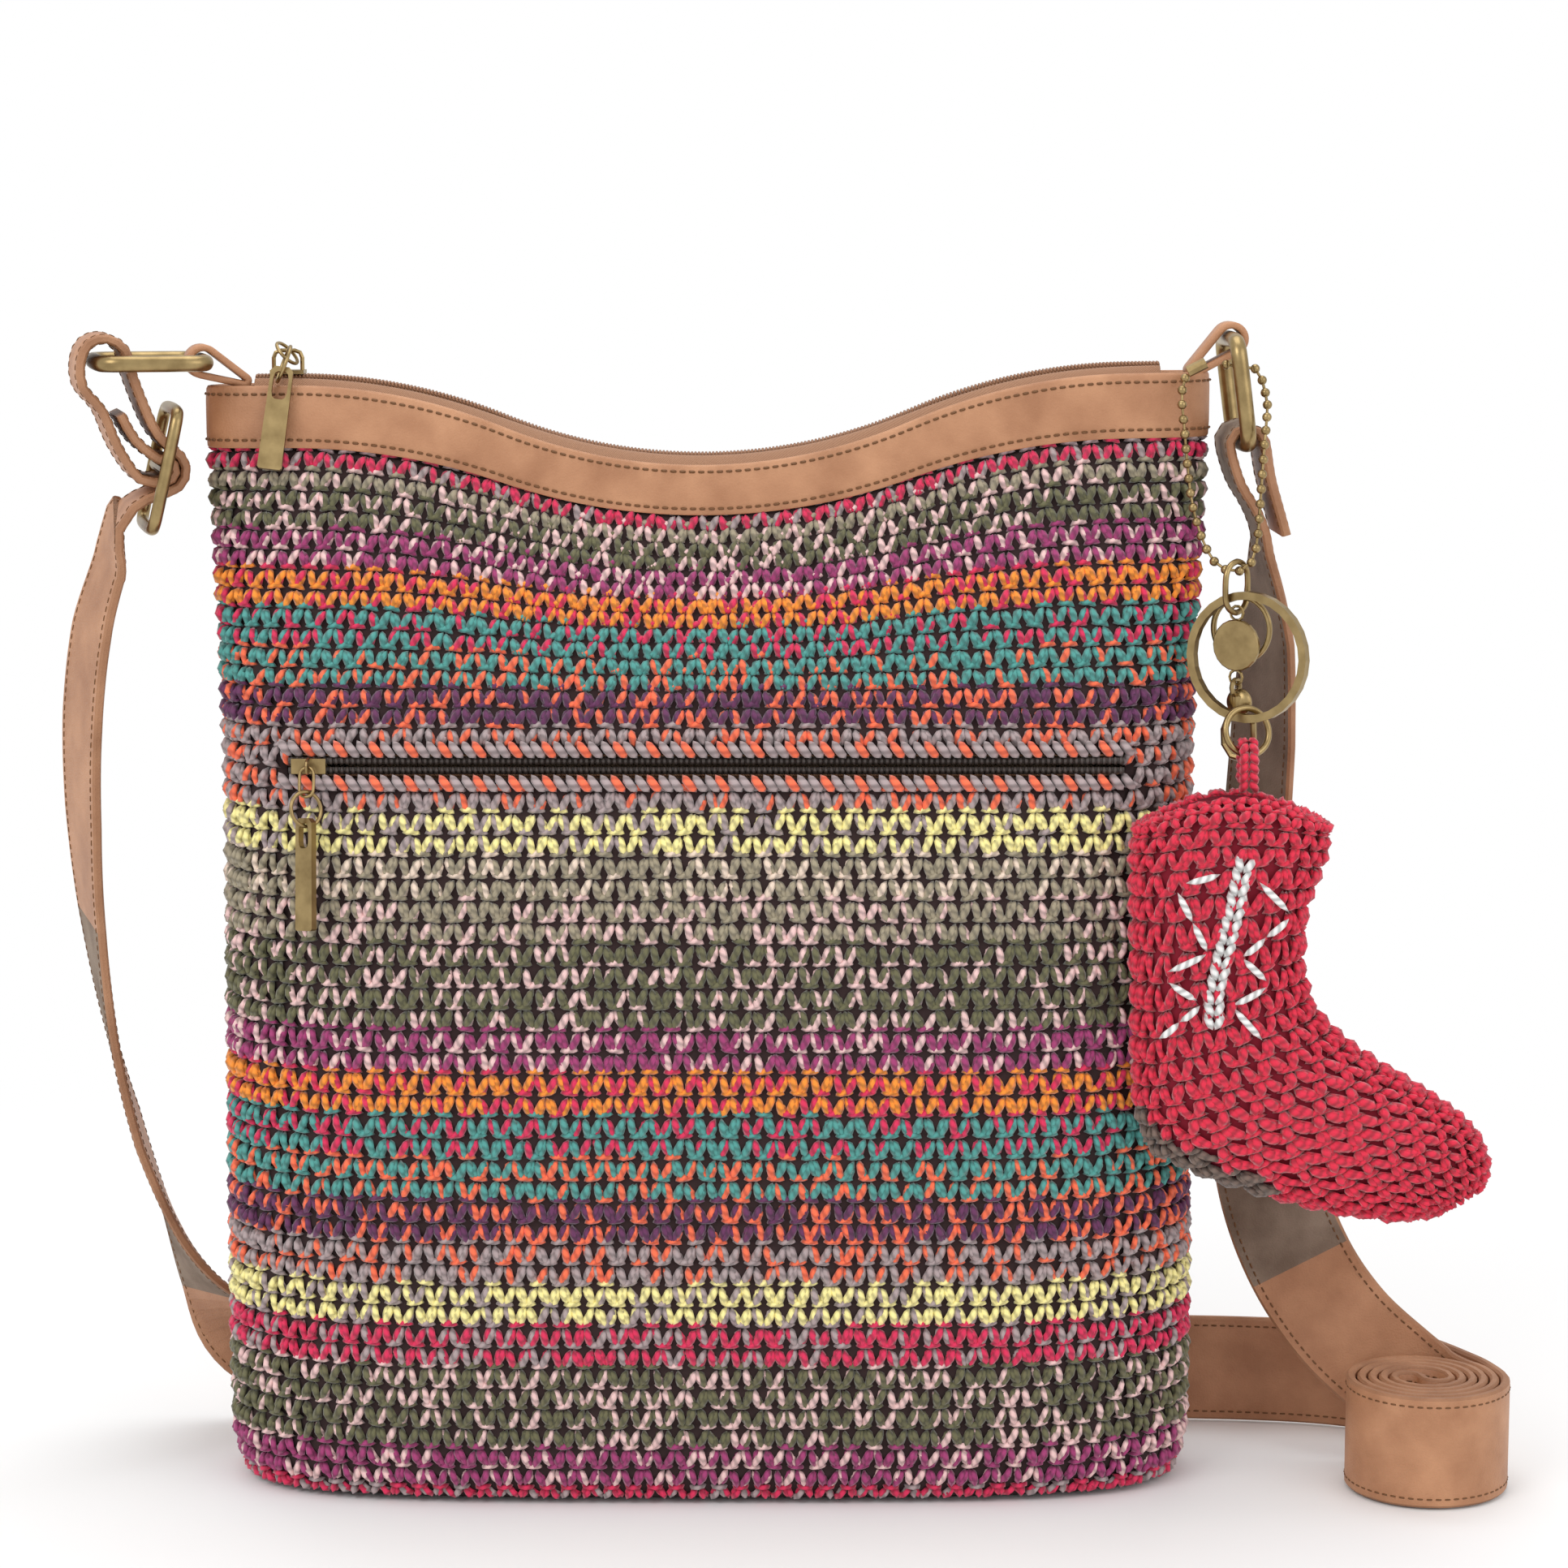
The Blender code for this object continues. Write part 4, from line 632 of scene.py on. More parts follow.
def strap_frames(spacing):
    """Centre, width direction, normal and key at each station, with the first keys of the two long runs."""
    left, left_across = strap_left()
    right, right_across = strap_right()
    roll = strap_roll()
    down, up = ([Vector(p) * MM for p, _ in run] for run in (RUN_DOWN, RUN_UP))
    keys = left + down + roll + up + right
    across = left_across + [Vector(w) for _, w in RUN_DOWN] + [UP] * len(roll)
    across += [Vector(w) for _, w in RUN_UP] + right_across
    stations = spline(keys, spacing)
    frames = []
    for i, (centre, key, share) in enumerate(stations):
        tangent = (stations[min(i + 1, len(stations) - 1)][0] - stations[max(i - 1, 0)][0]).normalized()
        side = across[key].lerp(across[key + 1], share)
        side = (side - tangent * side.dot(tangent)).normalized()
        frames.append((centre, side, tangent.cross(side), key))
    return frames, len(left), len(keys) - len(right) - len(up)


def dashes(strands, points, normals, pitch, lift_off, radius):
    """Running stitches along a line."""
    lengths = running_lengths(points)
    steps = range(int(lengths[-1] / pitch))
    distances = [(step + share) * pitch for step in steps for share in (0.12, 0.5, 0.88)]
    found = [(point, normals[i]) for point, i in spread_points(points, lengths, distances)]
    for (a, na), (b, nb), (c, nc) in zip(found[::3], found[1::3], found[2::3]):
        path = [a - na * radius, a.lerp(b, 0.3) + na * lift_off, b + nb * (lift_off * 1.3),
                c.lerp(b, 0.3) + nc * lift_off, c - nc * radius]
        strands.add(path, nb, radius, radius * 0.8, 0, sides=4)


# Operators


class BagSettings(bpy.types.PropertyGroup):
    stitch_width: bpy.props.FloatProperty(
        name="Stitch width", description="Width of one crochet stitch", default=7.0 * MM, unit="LENGTH")
    thread_pitch: bpy.props.FloatProperty(
        name="Thread pitch", description="Length of one stitch in the leather", default=2.6 * MM,
        unit="LENGTH")
    leather_dark: bpy.props.FloatVectorProperty(
        name="Leather, dark", description="Darker tone of the leather", default=srgb(160, 110, 77),
        subtype="COLOR", size=3)
    leather_light: bpy.props.FloatVectorProperty(
        name="Leather, light", description="Lighter tone of the leather", default=srgb(188, 136, 100),
        subtype="COLOR", size=3)
    boot_red: bpy.props.FloatVectorProperty(
        name="Boot yarn", description="Colour of the boot's yarn", default=srgb(212, 32, 64),
        subtype="COLOR", size=3)


MATERIALS = {}


def make_materials(settings):
    grain, ply_shade, weave = grain_group(), ply_shade_group(), weave_group()

    def yarn(name, colour):
        # Painted shade at 0.6 and painted highlight at 1.12 of the yarn's colour, laid along the ply wave.
        return grouped_material(name, ply_shade, shade(colour, 0.6), shade(colour, 1.12), 0.68, sheen=0.3)

    def leather(name, dark, light, roughness=0.5):
        return grouped_material(name, grain, dark, light, roughness, tone_scale=70, bump_scale=1700,
                                strength=0.5)

    def cloth(name, dark, light, sheen=0.0):
        return grouped_material(name, weave, dark, light, 0.85, sheen=sheen)

    dark, light = tuple(settings.leather_dark), tuple(settings.leather_light)
    MATERIALS.update({name: yarn("yarn_" + name, colour) for name, colour in YARNS.items()})
    # Painted shadow: a near-black sheet behind the crochet stands in for the shade seen through the gaps
    # between stitches.
    MATERIALS["ground"] = new_material("yarn_shadow", (0.030, 0.014, 0.014), 0.95)
    MATERIALS["leather"] = leather("leather", dark, light)
    MATERIALS["edge"] = leather("leather_edge", shade(dark, 0.75), shade(light, 0.8), 0.6)
    MATERIALS["suede"] = leather("suede", srgb(112, 94, 80), srgb(146, 128, 112), 0.9)
    MATERIALS["thread"] = new_material("thread", srgb(110, 74, 42), 0.6)
    MATERIALS["brass"] = grouped_material("antique_brass", grain, (0.27, 0.19, 0.085), (0.40, 0.29, 0.135),
                                          0.33, metallic=1.0, tone_scale=220, bump_scale=1500, strength=0.04)
    MATERIALS["tape"] = cloth("zip_tape", srgb(128, 88, 62), srgb(178, 132, 100), sheen=0.2)
    MATERIALS["coil"] = new_material("zip_coil", srgb(142, 100, 72), 0.4)
    MATERIALS["dark_coil"] = new_material("pocket_coil", srgb(66, 58, 54), 0.42)
    MATERIALS["lining"] = cloth("lining_cloth", srgb(120, 98, 80), srgb(160, 136, 112))
    MATERIALS["boot"] = yarn("boot", tuple(settings.boot_red))
    # Painted shadow: a dark red core inside the boot stands in for the shade seen through the gaps between
    # its stitches.
    MATERIALS["boot_ground"] = new_material("boot_shadow", (0.24, 0.008, 0.024), 0.95)
    MATERIALS["heel"] = yarn("heel", srgb(112, 94, 84))
    MATERIALS["embroidery"] = yarn("embroidery", srgb(226, 226, 224))


class BAG_OT_crochet(bpy.types.Operator):
    """Make the crocheted wall as a painted-shadow backing, its stitches and the pocket's lips"""

    bl_idname = "bag.crochet"
    bl_label = "Crochet"

    def execute(self, context):
        settings = context.scene.bag_settings
        rows = row_list()
        names = list(YARNS)
        materials = [MATERIALS[name] for name in names]
        perimeter = 2 * (2 * 138 + 2 * 35) * MM
        count = round(perimeter / settings.stitch_width)
        dice = random.Random(7)
        groups = (("crochet_upper", 0, 13), ("crochet_middle", 13, 26), ("crochet_lower", 26, 39),
                  ("crochet_base", 39, len(rows)))
        for group_name, first, end in groups:
            strands = Strands()
            for row in range(first, end):
                high, low, main, accent = rows[row]
                self.row(strands, row, high, low, names.index(main), names.index(accent), count, dice)
            nodes = ("crochet_body",) if group_name == "crochet_upper" else ()
            new_object(group_name, strands.mesh(group_name), materials, "bag", nodes)
        self.lips(names, materials, dice)
        self.ground()
        return {"FINISHED"}

    def row(self, strands, row, high, low, main, accent, count, dice):
        """One round of stitches, set half a stitch over on every other row, and left out along the slit."""
        middle, height = (high + low) / 2, high - low
        points = count * 2
        ring = wall_ring(middle, STITCH_INSET, points)
        above = wall_ring(middle + height * 0.4, STITCH_INSET, points)
        below = wall_ring(max(middle - height * 0.4, 0.5 * MM), STITCH_INSET, points)
        for k in range(count):
            i = (2 * k + row % 2) % points
            centre = ring[i]
            step = ring[(i + 1) % points] - ring[i - 1]
            along = step.normalized()
            up = (above[i] - below[i]).normalized()
            out = up.cross(along).normalized()
            if out.dot(Vector((centre.x * 0.1, centre.y, 0))) < 0:
                out = -out
            in_slit = abs(centre.x) < POCKET_HALF_LENGTH + 2 * MM and abs(centre.z - POCKET_HEIGHT) < 4 * MM
            if centre.y < 0 and in_slit:
                continue
            size = height
            if middle < 4 * MM:
                centre = centre + up * BASE_ROW_RAISE
                size = height * 0.7
            stitch(strands, centre, along, up, out, step.length * 1.02, size, main, accent, dice)

    def lips(self, names, materials, dice):
        """The slanted strands above and below the pocket's slit."""
        strands = Strands()
        colours = [names.index("mauve"), names.index("mauve"), names.index("coral")]
        pitch, lean, half = 3.2 * MM, 2.0 * MM, 2.5 * MM
        reach = POCKET_HALF_LENGTH + 2.5 * MM
        for middle in (POCKET_HEIGHT + LIP_OFFSET, POCKET_HEIGHT - LIP_OFFSET):
            half_width = profile(WIDTH_PROFILE, middle) * MM
            depth = profile(FRONT_PROFILE, middle) * MM
            for step in range(int(2 * reach / pitch)):
                x = -reach + (step + 0.5) * pitch
                share = max(0.0, 1 - (abs(x) / half_width) ** profile(END_POWER, middle))
                y = -depth * share ** (1 / profile(SIDE_POWER, middle)) + 0.6 * MM
                tilt = dice.uniform(-0.3, 0.3) * MM
                path = [Vector((x + lean * t + tilt, y - 1.7 * MM * (1 - t * t), middle - half * t))
                        for t in (-1, -0.55, 0, 0.55, 1)]
                strands.add(path, FRONT, 1.35 * MM, 1.1 * MM, colours[step % 3])
        new_object("pocket_lips", strands.mesh("pocket_lips"), materials, "bag")

    def ground(self):
        """The dark wall behind the stitches, painted shadow for the shade in their gaps: the node's own wall,
        drawn in a little.
        """
        mesh_data = bmesh.new()
        mesh_data.from_mesh(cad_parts["crochet_body"].data)
        bmesh.ops.remove_doubles(mesh_data, verts=mesh_data.verts, dist=WELD)
        for vert in mesh_data.verts:
            vert.co -= vert.normal * (0.7 * MM)
        for face in mesh_data.faces:
            face.material_index = 0
        mesh = mesh_of(mesh_data, "crochet_shadow_wall")
        mesh.shade_smooth()
        new_object("crochet_shadow_wall", mesh, [MATERIALS["ground"]], "bag")


class BAG_OT_band(bpy.types.Operator):
    """Make the leather band round the mouth with its two lines of thread"""

    bl_idname = "bag.band"
    bl_label = "Band"

    def execute(self, context):
        pitch = context.scene.bag_settings.thread_pitch
        base = BODY_HEIGHT + BAND_GAP
        top = base + BAND_HEIGHT
        count, thread_count = 220, 420
        section = ((base, -0.3), (base + 0.5 * MM, -0.65), (base + 4 * MM, -0.85), (top - 4 * MM, -0.85),
                   (top - 0.8 * MM, -0.65), (top, -0.2), (top + 0.1 * MM, 0.4), (top - 0.4 * MM, 0.95),
                   (base, 0.95))
        rings = [wall_ring(height, inset * MM, count) for height, inset in section]
        mesh = loft_mesh("leather_band", rings, closed_path=True)
        smooth(mesh)
        new_object("leather_band", mesh, [MATERIALS["leather"]], "bag", ("top_band",))
        strands = Strands()
        for height in (base + BAND_THREAD_INSET, top - BAND_THREAD_INSET):
            points = wall_ring(height, -0.75 * MM, thread_count)
            points.append(points[0])
            normals = []
            for i, point in enumerate(points):
                tangent = (points[(i + 1) % thread_count] - points[i - 1]).normalized()
                normal = Vector((tangent.y, -tangent.x, 0)).normalized()
                outward = normal.dot(Vector((point.x * 0.1, point.y, 0))) >= 0
                normals.append(normal if outward else -normal)
            dashes(strands, points, normals, pitch, 0.2 * MM, 0.36 * MM)
        new_object("band_thread", strands.mesh("band_thread"), [MATERIALS["thread"]], "bag")
        return {"FINISHED"}


class BAG_OT_strap(bpy.types.Operator):
    """Make the leather strap, its suede side and its thread"""

    bl_idname = "bag.strap"
    bl_label = "Strap"

    def execute(self, context):
        frames, left_end, rise_start = strap_frames(STRAP_STATION)
        half, thick = STRAP_WIDTH / 2, STRAP_THICKNESS / 2
        flat, edge = half - 0.7 * MM, thick - 0.6 * MM
        section = ((flat, thick), (-flat, thick), (-half, edge), (-half, -edge), (-flat, -thick),
                   (flat, -thick), (half, -edge), (half, edge))
        leather, cut, suede = 0, 1, 2
        rings, slots = [], []
        for centre, side, normal, key in frames:
            rings.append([centre + side * a + normal * b for a, b in section])
            faces = [leather, cut, cut, cut, leather, cut, cut, cut]
            if left_end + 3 < key < left_end + 8:
                faces[0] = suede
            elif key > rise_start + 4:
                faces[4] = suede
            slots.append(faces)
        mesh = loft_mesh("leather_strap", rings, slots=slots)
        smooth(mesh, 40)
        materials = [MATERIALS["leather"], MATERIALS["edge"], MATERIALS["suede"]]
        new_object("leather_strap", mesh, materials, "bag", ("strap",))
        strands = Strands()
        pitch = context.scene.bag_settings.thread_pitch
        for sign in (-1, 1):
            for face in (-1, 1):
                across = sign * (half - THREAD_INSET)
                points = [centre + side * across + normal * (face * thick)
                          for centre, side, normal, key in frames]
                normals = [normal * face for centre, side, normal, key in frames]
                dashes(strands, points, normals, pitch, 0.05 * MM, 0.27 * MM)
        new_object("strap_thread", strands.mesh("strap_thread"), [MATERIALS["thread"]], "bag")
        left_along = Vector((-math.cos(LEFT_YAW), -math.sin(LEFT_YAW), 0))
        self.ring_tab("left_ring_tab", LEFT_BAR, left_along, 11.4 * MM, 5.4 * MM)
        self.ring_tab("right_ring_tab", RIGHT_BAR, Vector((1, 0, 0)), 10.6 * MM, 8.8 * MM)
        return {"FINISHED"}

    def ring_tab(self, node, bar, along, inward, drop):
        """A leather loop folded round the ring's bar and closed at its root."""
        across = along.cross(UP)
        root = bar - along * inward - UP * drop
        direction = (bar - root).normalized()
        side = direction.cross(across)
        width, thick = TAB_WIDTH / 2, TAB_THICKNESS / 2
        radius, root_radius = TAB_FOLD, thick + 0.12 * MM
        lean = math.asin((radius - root_radius) / (bar - root).length)
        line = []
        for i in range(17):
            angle = -math.pi / 2 - lean + (math.pi + 2 * lean) * i / 16
            line.append((bar, direction * math.cos(angle) + side * math.sin(angle), radius))
        for i in range(7):
            angle = math.pi / 2 + lean + (math.pi - 2 * lean) * i / 6
            line.append((root, direction * math.cos(angle) + side * math.sin(angle), root_radius))
        flat, edge = width - TAB_CORNER, thick - TAB_CORNER
        section = ((flat, thick), (width, edge), (width, -edge), (flat, -thick), (-flat, -thick),
                   (-width, -edge), (-width, edge), (-flat, thick))
        rings = [[middle + out * (reach + b) + across * a for a, b in section] for middle, out, reach in line]
        mesh = loft_mesh(node + "_leather", rings, closed_path=True)
        smooth(mesh, 50)
        new_object(node + "_leather", mesh, [MATERIALS["leather"]], "bag", (node,))


class BAG_OT_zips(bpy.types.Operator):
    """Make the zips' coils and tapes and the linings"""

    bl_idname = "bag.zips"
    bl_label = "Zips"

    def execute(self, context):
        height = BODY_HEIGHT + BAND_HEIGHT
        lean, up = Vector((0.5, 0, 0)) * MM, Vector((0, 0, 0.95)) * MM
        for side, sign in (("front", -1), ("back", 1)):
            edge = Vector((0, 1.25 * MM * sign, 0))
            strands = Strands()
            for i in range(MAIN_TEETH):
                x = (-MAIN_TEETH / 2 + i + 0.5) * MM
                z = height + COIL_LIFT - MOUTH_SAG * dip(x) + lift(x, height)
                centre = Vector((x, sign * 1.6 * MM, z))
                path = [centre - edge - lean - up * 0.2, centre - edge * 0.7 + up * 0.9, centre + up * 1.25,
                        centre + edge * 0.7 + up * 0.9, centre + edge + lean - up * 0.2]
                strands.add(path, Vector((1, 0, 0)), 0.33 * MM, 0.42 * MM, 0)
            self.teeth("teeth_" + side, strands, "coil", "main_coil_" + side)
            refined("tape_" + side, "main_tape_" + side, MATERIALS["tape"], "bag", 2)
        out = FRONT * (0.9 * MM)
        for side, sign in (("upper", 1), ("lower", -1)):
            edge = Vector((0, 0, 1.1 * MM * sign))
            strands = Strands()
            for i in range(POCKET_TEETH):
                x = (-115.5 + 231 * (i + 0.5) / POCKET_TEETH) * MM
                centre = Vector((x, POCKET_ZIP_Y, POCKET_HEIGHT + sign * 1.35 * MM))
                path = [centre - edge, centre - edge * 0.7 + out * 0.9, centre + out * 1.25,
                        centre + edge * 0.7 + out * 0.9, centre + edge]
                strands.add(path, Vector((1, 0, 0)), 0.35 * MM, 0.6 * MM, 0)
            self.teeth("pocket_teeth_" + side, strands, "dark_coil", "pocket_coil_" + side)
            refined("pocket_tape_cloth_" + side, "pocket_tape_" + side, MATERIALS["tape"], "bag")
        refined("lining_cloth", "lining_bag", MATERIALS["lining"], "bag")
        refined("pouch_cloth", "pocket_pouch", MATERIALS["lining"], "bag")
        return {"FINISHED"}

    def teeth(self, name, strands, slot, coil):
        """One row of teeth, in the colour of the coil it sits on."""
        new_object(name, strands.mesh(name), [MATERIALS[slot]], "bag")
        repaint(coil, MATERIALS[slot])


CHAIN_ROUTE = (
    (133.5, -13.2, 319), (131.8, -17.2, 313), (132.6, -18.4, 303), (133.6, -19.4, 292), (135, -20.8, 282),
    (138, -23.4, 272), (141.6, -26, 266.4), (146.5, -28.6, 264.9), (150.6, -28.4, 267.5), (152.2, -27.4, 274),
    (153, -26.2, 284), (153.8, -24.8, 296), (154.6, -22.8, 304), (155.4, -18.5, 310.5), (154.6, -14.6, 315.6),
    (153.5, -12.9, 319.5), (149, -13.0, 320.6), (144, -13.1, 321.2), (139, -13.2, 321.8),
)
BEAD_PITCH = 4.1 * MM
BEAD_RADIUS = 1.34 * MM
CHAIN_WIRE = 0.42 * MM
MEDALLION_YAW = math.radians(-36)
CAP_RADIUS = 3.9 * MM
CAP_FLATTENING = 0.52
CAP_CENTRE = Vector((148.0, -27.1, 228.4)) * MM


class BAG_OT_metal(bpy.types.Operator):
    """Make the rings, pulls, chain and other metal pieces"""

    bl_idname = "bag.metal"
    bl_label = "Metal"

    def execute(self, context):
        rounded = ("left_ring", "right_ring", "buckle_frame", "oval_link", "inner_ring", "charm_ring",
                   "main_link_upper", "main_link_lower", "pocket_pull_loop", "pocket_pull_ring")
        for node in rounded:
            body = "buckle" if node == "buckle_frame" else node
            refined(node + "_metal", node, MATERIALS["brass"], body, 2, crease=0)
        kept = ("buckle_bar", "main_slider", "main_pull_tab", "pocket_slider", "pocket_pull_tab", "key_ring",
                "medallion", "snap_hook", "snap_gate", "chain_connector")
        for node in kept:
            repaint(node, MATERIALS["brass"])
        self.chain()
        self.swivel_cap()
        return {"FINISHED"}

    def swivel_cap(self):
        """The domed cap over the snap hook's collar, facing as the medallion does."""
        facing = Vector((-math.sin(MEDALLION_YAW), math.cos(MEDALLION_YAW), 0))
        turn = facing.to_track_quat("Z", "Y").to_matrix().to_4x4()
        place = Matrix.Translation(CAP_CENTRE) @ turn @ Matrix.Diagonal((1, 1, CAP_FLATTENING, 1))
        mesh_data = bmesh.new()
        bmesh.ops.create_uvsphere(mesh_data, u_segments=32, v_segments=16, radius=CAP_RADIUS, matrix=place)
        mesh = mesh_of(mesh_data, "swivel_cap")
        mesh.shade_smooth()
        new_object("swivel_cap", mesh, [MATERIALS["brass"]], "snap_hook")

    def chain(self):
        """Beads at an even pitch along the route, on a thin wire."""
        fine = [point for point, key, share in spline([Vector(p) * MM for p in CHAIN_ROUTE], 0.5 * MM)]
        lengths = running_lengths(fine)
        distances = [(bead + 0.5) * BEAD_PITCH for bead in range(int(lengths[-1] / BEAD_PITCH))]
        points = [point for point, segment in spread_points(fine, lengths, distances)]
        mesh_data = bmesh.new()
        for point in points:
            bmesh.ops.create_uvsphere(mesh_data, u_segments=12, v_segments=8, radius=BEAD_RADIUS,
                                      matrix=Matrix.Translation(point))
        for a, b in zip(points, points[1:]):
            turn = (b - a).to_track_quat("Z", "Y").to_matrix().to_4x4()
            bmesh.ops.create_cone(mesh_data, segments=6, radius1=CHAIN_WIRE, radius2=CHAIN_WIRE,
                                  depth=(b - a).length, matrix=Matrix.Translation((a + b) / 2) @ turn)
        mesh = mesh_of(mesh_data, "bead_chain")
        mesh.shade_smooth()
        new_object("bead_chain", mesh, [MATERIALS["brass"]], "bag", ("ball_chain",))


BOOT_Y = -41 * MM
BOOT_BACK_RELIEF = 2.8 * MM
BOOT_HALF_DEPTH = 13.5 * MM
BOOT_ROWS = 28
BOOT_ROW_STITCHES = 22
CHARM_RING_FOOT = Vector((149.4, -37.1, 214.8)) * MM
CORD_FOLD = 3.45 * MM
HEEL_TOP = (119.5 * MM, 117 * MM)
HEEL_END = (156 * MM, 96.5 * MM)
BOOT_RUNGS = (
    ((122.5, 203.0), (166.0, 204.4), 0.62), ((119.2, 200.0), (170.5, 200.5), 0.9),
    ((118.4, 188.0), (169.5, 189.5), 1.0), ((118.8, 170.0), (164.6, 174.5), 1.0),
    ((119.2, 150.0), (163.6, 157.0), 1.0), ((119.6, 132.0), (167.0, 144.5), 1.0),
    ((120.4, 117.0), (176.5, 134.5), 1.0), ((124.5, 106.0), (188.0, 127.0), 1.0),
    ((138.0, 99.0), (198.5, 120.5), 0.97), ((156.0, 93.2), (207.5, 114.5), 0.92),
    ((174.0, 88.8), (213.6, 108.6), 0.86), ((190.0, 86.4), (216.6, 101.0), 0.74),
    ((202.0, 87.6), (215.2, 95.2), 0.5),
)
# Lines of pale yarn on the boot, as x and z in mm: first a chain, then single stitches.
EMBROIDERY = (
    ((147.14, 188.89), (145.46, 181.7), (144.21, 174.08), (142.54, 167.31), (140.86, 159.69),
     (139.19, 151.22), (139.19, 141.91)),
    ((140.44, 184.66), (130.82, 182.12)), ((128.73, 179.58), (137.1, 163.07)),
    ((137.1, 162.65), (126.22, 157.57)), ((126.64, 154.61), (134.59, 149.53)),
    ((135.42, 148.26), (124.13, 138.95)), ((150.9, 182.54), (159.27, 174.08)),
    ((159.27, 172.39), (146.72, 161.8)), ((146.72, 161.38), (153.41, 155.03)),
    ((153.41, 153.34), (144.21, 148.26)), ((144.21, 147.84), (152.57, 138.52)),
)


class BAG_OT_boot(bpy.types.Operator):
    """Make the crocheted boot charm"""

    bl_idname = "bag.boot"
    bl_label = "Boot"

    def section(self, rung, shrink, angle):
        """A point of the boot's skin, at a rung and a share between it and the next."""
        index = min(int(rung), len(BOOT_RUNGS) - 2)
        t = rung - index
        (a0, a1, sa), (b0, b1, sb) = BOOT_RUNGS[index], BOOT_RUNGS[index + 1]
        low, high = (Vector(((a[0] + (b[0] - a[0]) * t) * MM, BOOT_Y, (a[1] + (b[1] - a[1]) * t) * MM))
                     for a, b in ((a0, b0), (a1, b1)))
        depth = BOOT_HALF_DEPTH * (sa + (sb - sa) * t) - shrink
        half = (high - low) / 2
        half = half * ((half.length - shrink) / half.length)
        c, s = math.cos(angle), math.sin(angle)
        reach = (abs(c) ** 2.5 + abs(s) ** 2.5) ** (-1 / 2.5)
        arch = 7.5 * MM * (reach * c) ** 2 * max(0.0, 1 - rung / 3)
        back = BOOT_BACK_RELIEF * max(0.0, s)
        return (low + high) / 2 + half * (reach * c) + Vector((0, depth * reach * s - back, -arch))

    def execute(self, context):
        rungs = [i * 12 / 36 for i in range(37)]
        rings = [[self.section(r, 0.9 * MM, 2 * math.pi * k / 32) for k in range(32)] for r in rungs]
        # The core is painted shadow: a dark red skin under the stitches for the shade in their gaps.
        mesh = loft_mesh("boot_shadow_core", rings)
        mesh.shade_smooth()
        core = new_object("boot_shadow_core", mesh, [MATERIALS["boot_ground"]], "boot", ("boot_body",))
        strands = Strands()
        dice = random.Random(11)
        for row in range(BOOT_ROWS):
            for k in range(BOOT_ROW_STITCHES):
                angle = 2 * math.pi * (k + 0.5 * (row % 2)) / BOOT_ROW_STITCHES
                self.knot(strands, 0.15 + 11.6 * row / (BOOT_ROWS - 1), angle, dice)
        new_object("boot_stitches", strands.mesh("boot_stitches"), [MATERIALS["boot"], MATERIALS["heel"]],
                   "boot")
        self.embroidery()
        self.cord()
        return {"FINISHED"}

    def knot(self, strands, level, angle, dice):
        """One stitch of the boot, left out where the toe leaves no room for it."""
        inset, half_row, half_turn = 0.4 * MM, 11.6 / (BOOT_ROWS - 1) / 2, math.pi / BOOT_ROW_STITCHES
        centre = self.section(level, inset, angle)
        along = self.section(level, inset, angle + half_turn) - self.section(level, inset, angle - half_turn)
        up = self.section(max(level - half_row, 0), inset, angle)
        up -= self.section(min(level + half_row, 12), inset, angle)
        width, height = along.length, up.length
        if width < 0.5 * MM or height < 0.5 * MM:
            return
        along, up = along / width, up / height
        out = along.cross(up).normalized()
        if out.dot(centre - self.section(level, 5 * MM, angle)) < 0:
            out = -out
        slope = (HEEL_END[1] - HEEL_TOP[1]) / (HEEL_END[0] - HEEL_TOP[0])
        heel = centre.x < HEEL_END[0] and centre.z < HEEL_TOP[1] + (centre.x - HEEL_TOP[0]) * slope
        slot = 1 if heel else 0
        stitch(strands, centre, along, up, out, width, height, slot, slot, dice)

    def cord(self):
        """The braided loop that holds the boot on its ring."""
        def at(y, z):
            return Vector((CHARM_RING_FOOT.x, CHARM_RING_FOOT.y + y, z))

        centre, neck, foot = CHARM_RING_FOOT.z, CHARM_RING_FOOT.z - 4 * MM, 205.3 * MM
        points = [at(-CORD_FOLD, foot), at(-CORD_FOLD, neck)]
        for angle in [math.pi * i / 8 for i in range(9)]:
            points.append(at(-CORD_FOLD * math.cos(angle), centre + CORD_FOLD * math.sin(angle)))
        points += [at(CORD_FOLD, neck), at(CORD_FOLD, foot)]
        outs = []
        for i in range(len(points)):
            tangent = points[min(i + 1, len(points) - 1)] - points[max(i - 1, 0)]
            outs.append(Vector((0, -tangent.z, tangent.y)).normalized())
        strands = Strands()
        braid(strands, points, outs, 2.6 * MM, 4.6 * MM, 1.1 * MM, [0], random.Random(3))
        braid(strands, points, [-out for out in outs], 2.6 * MM, 4.6 * MM, 0.7 * MM, [0], random.Random(4))
        new_object("boot_loop_yarn", strands.mesh("boot_loop_yarn"), [MATERIALS["boot"]], "boot",
                   ("boot_loop",))

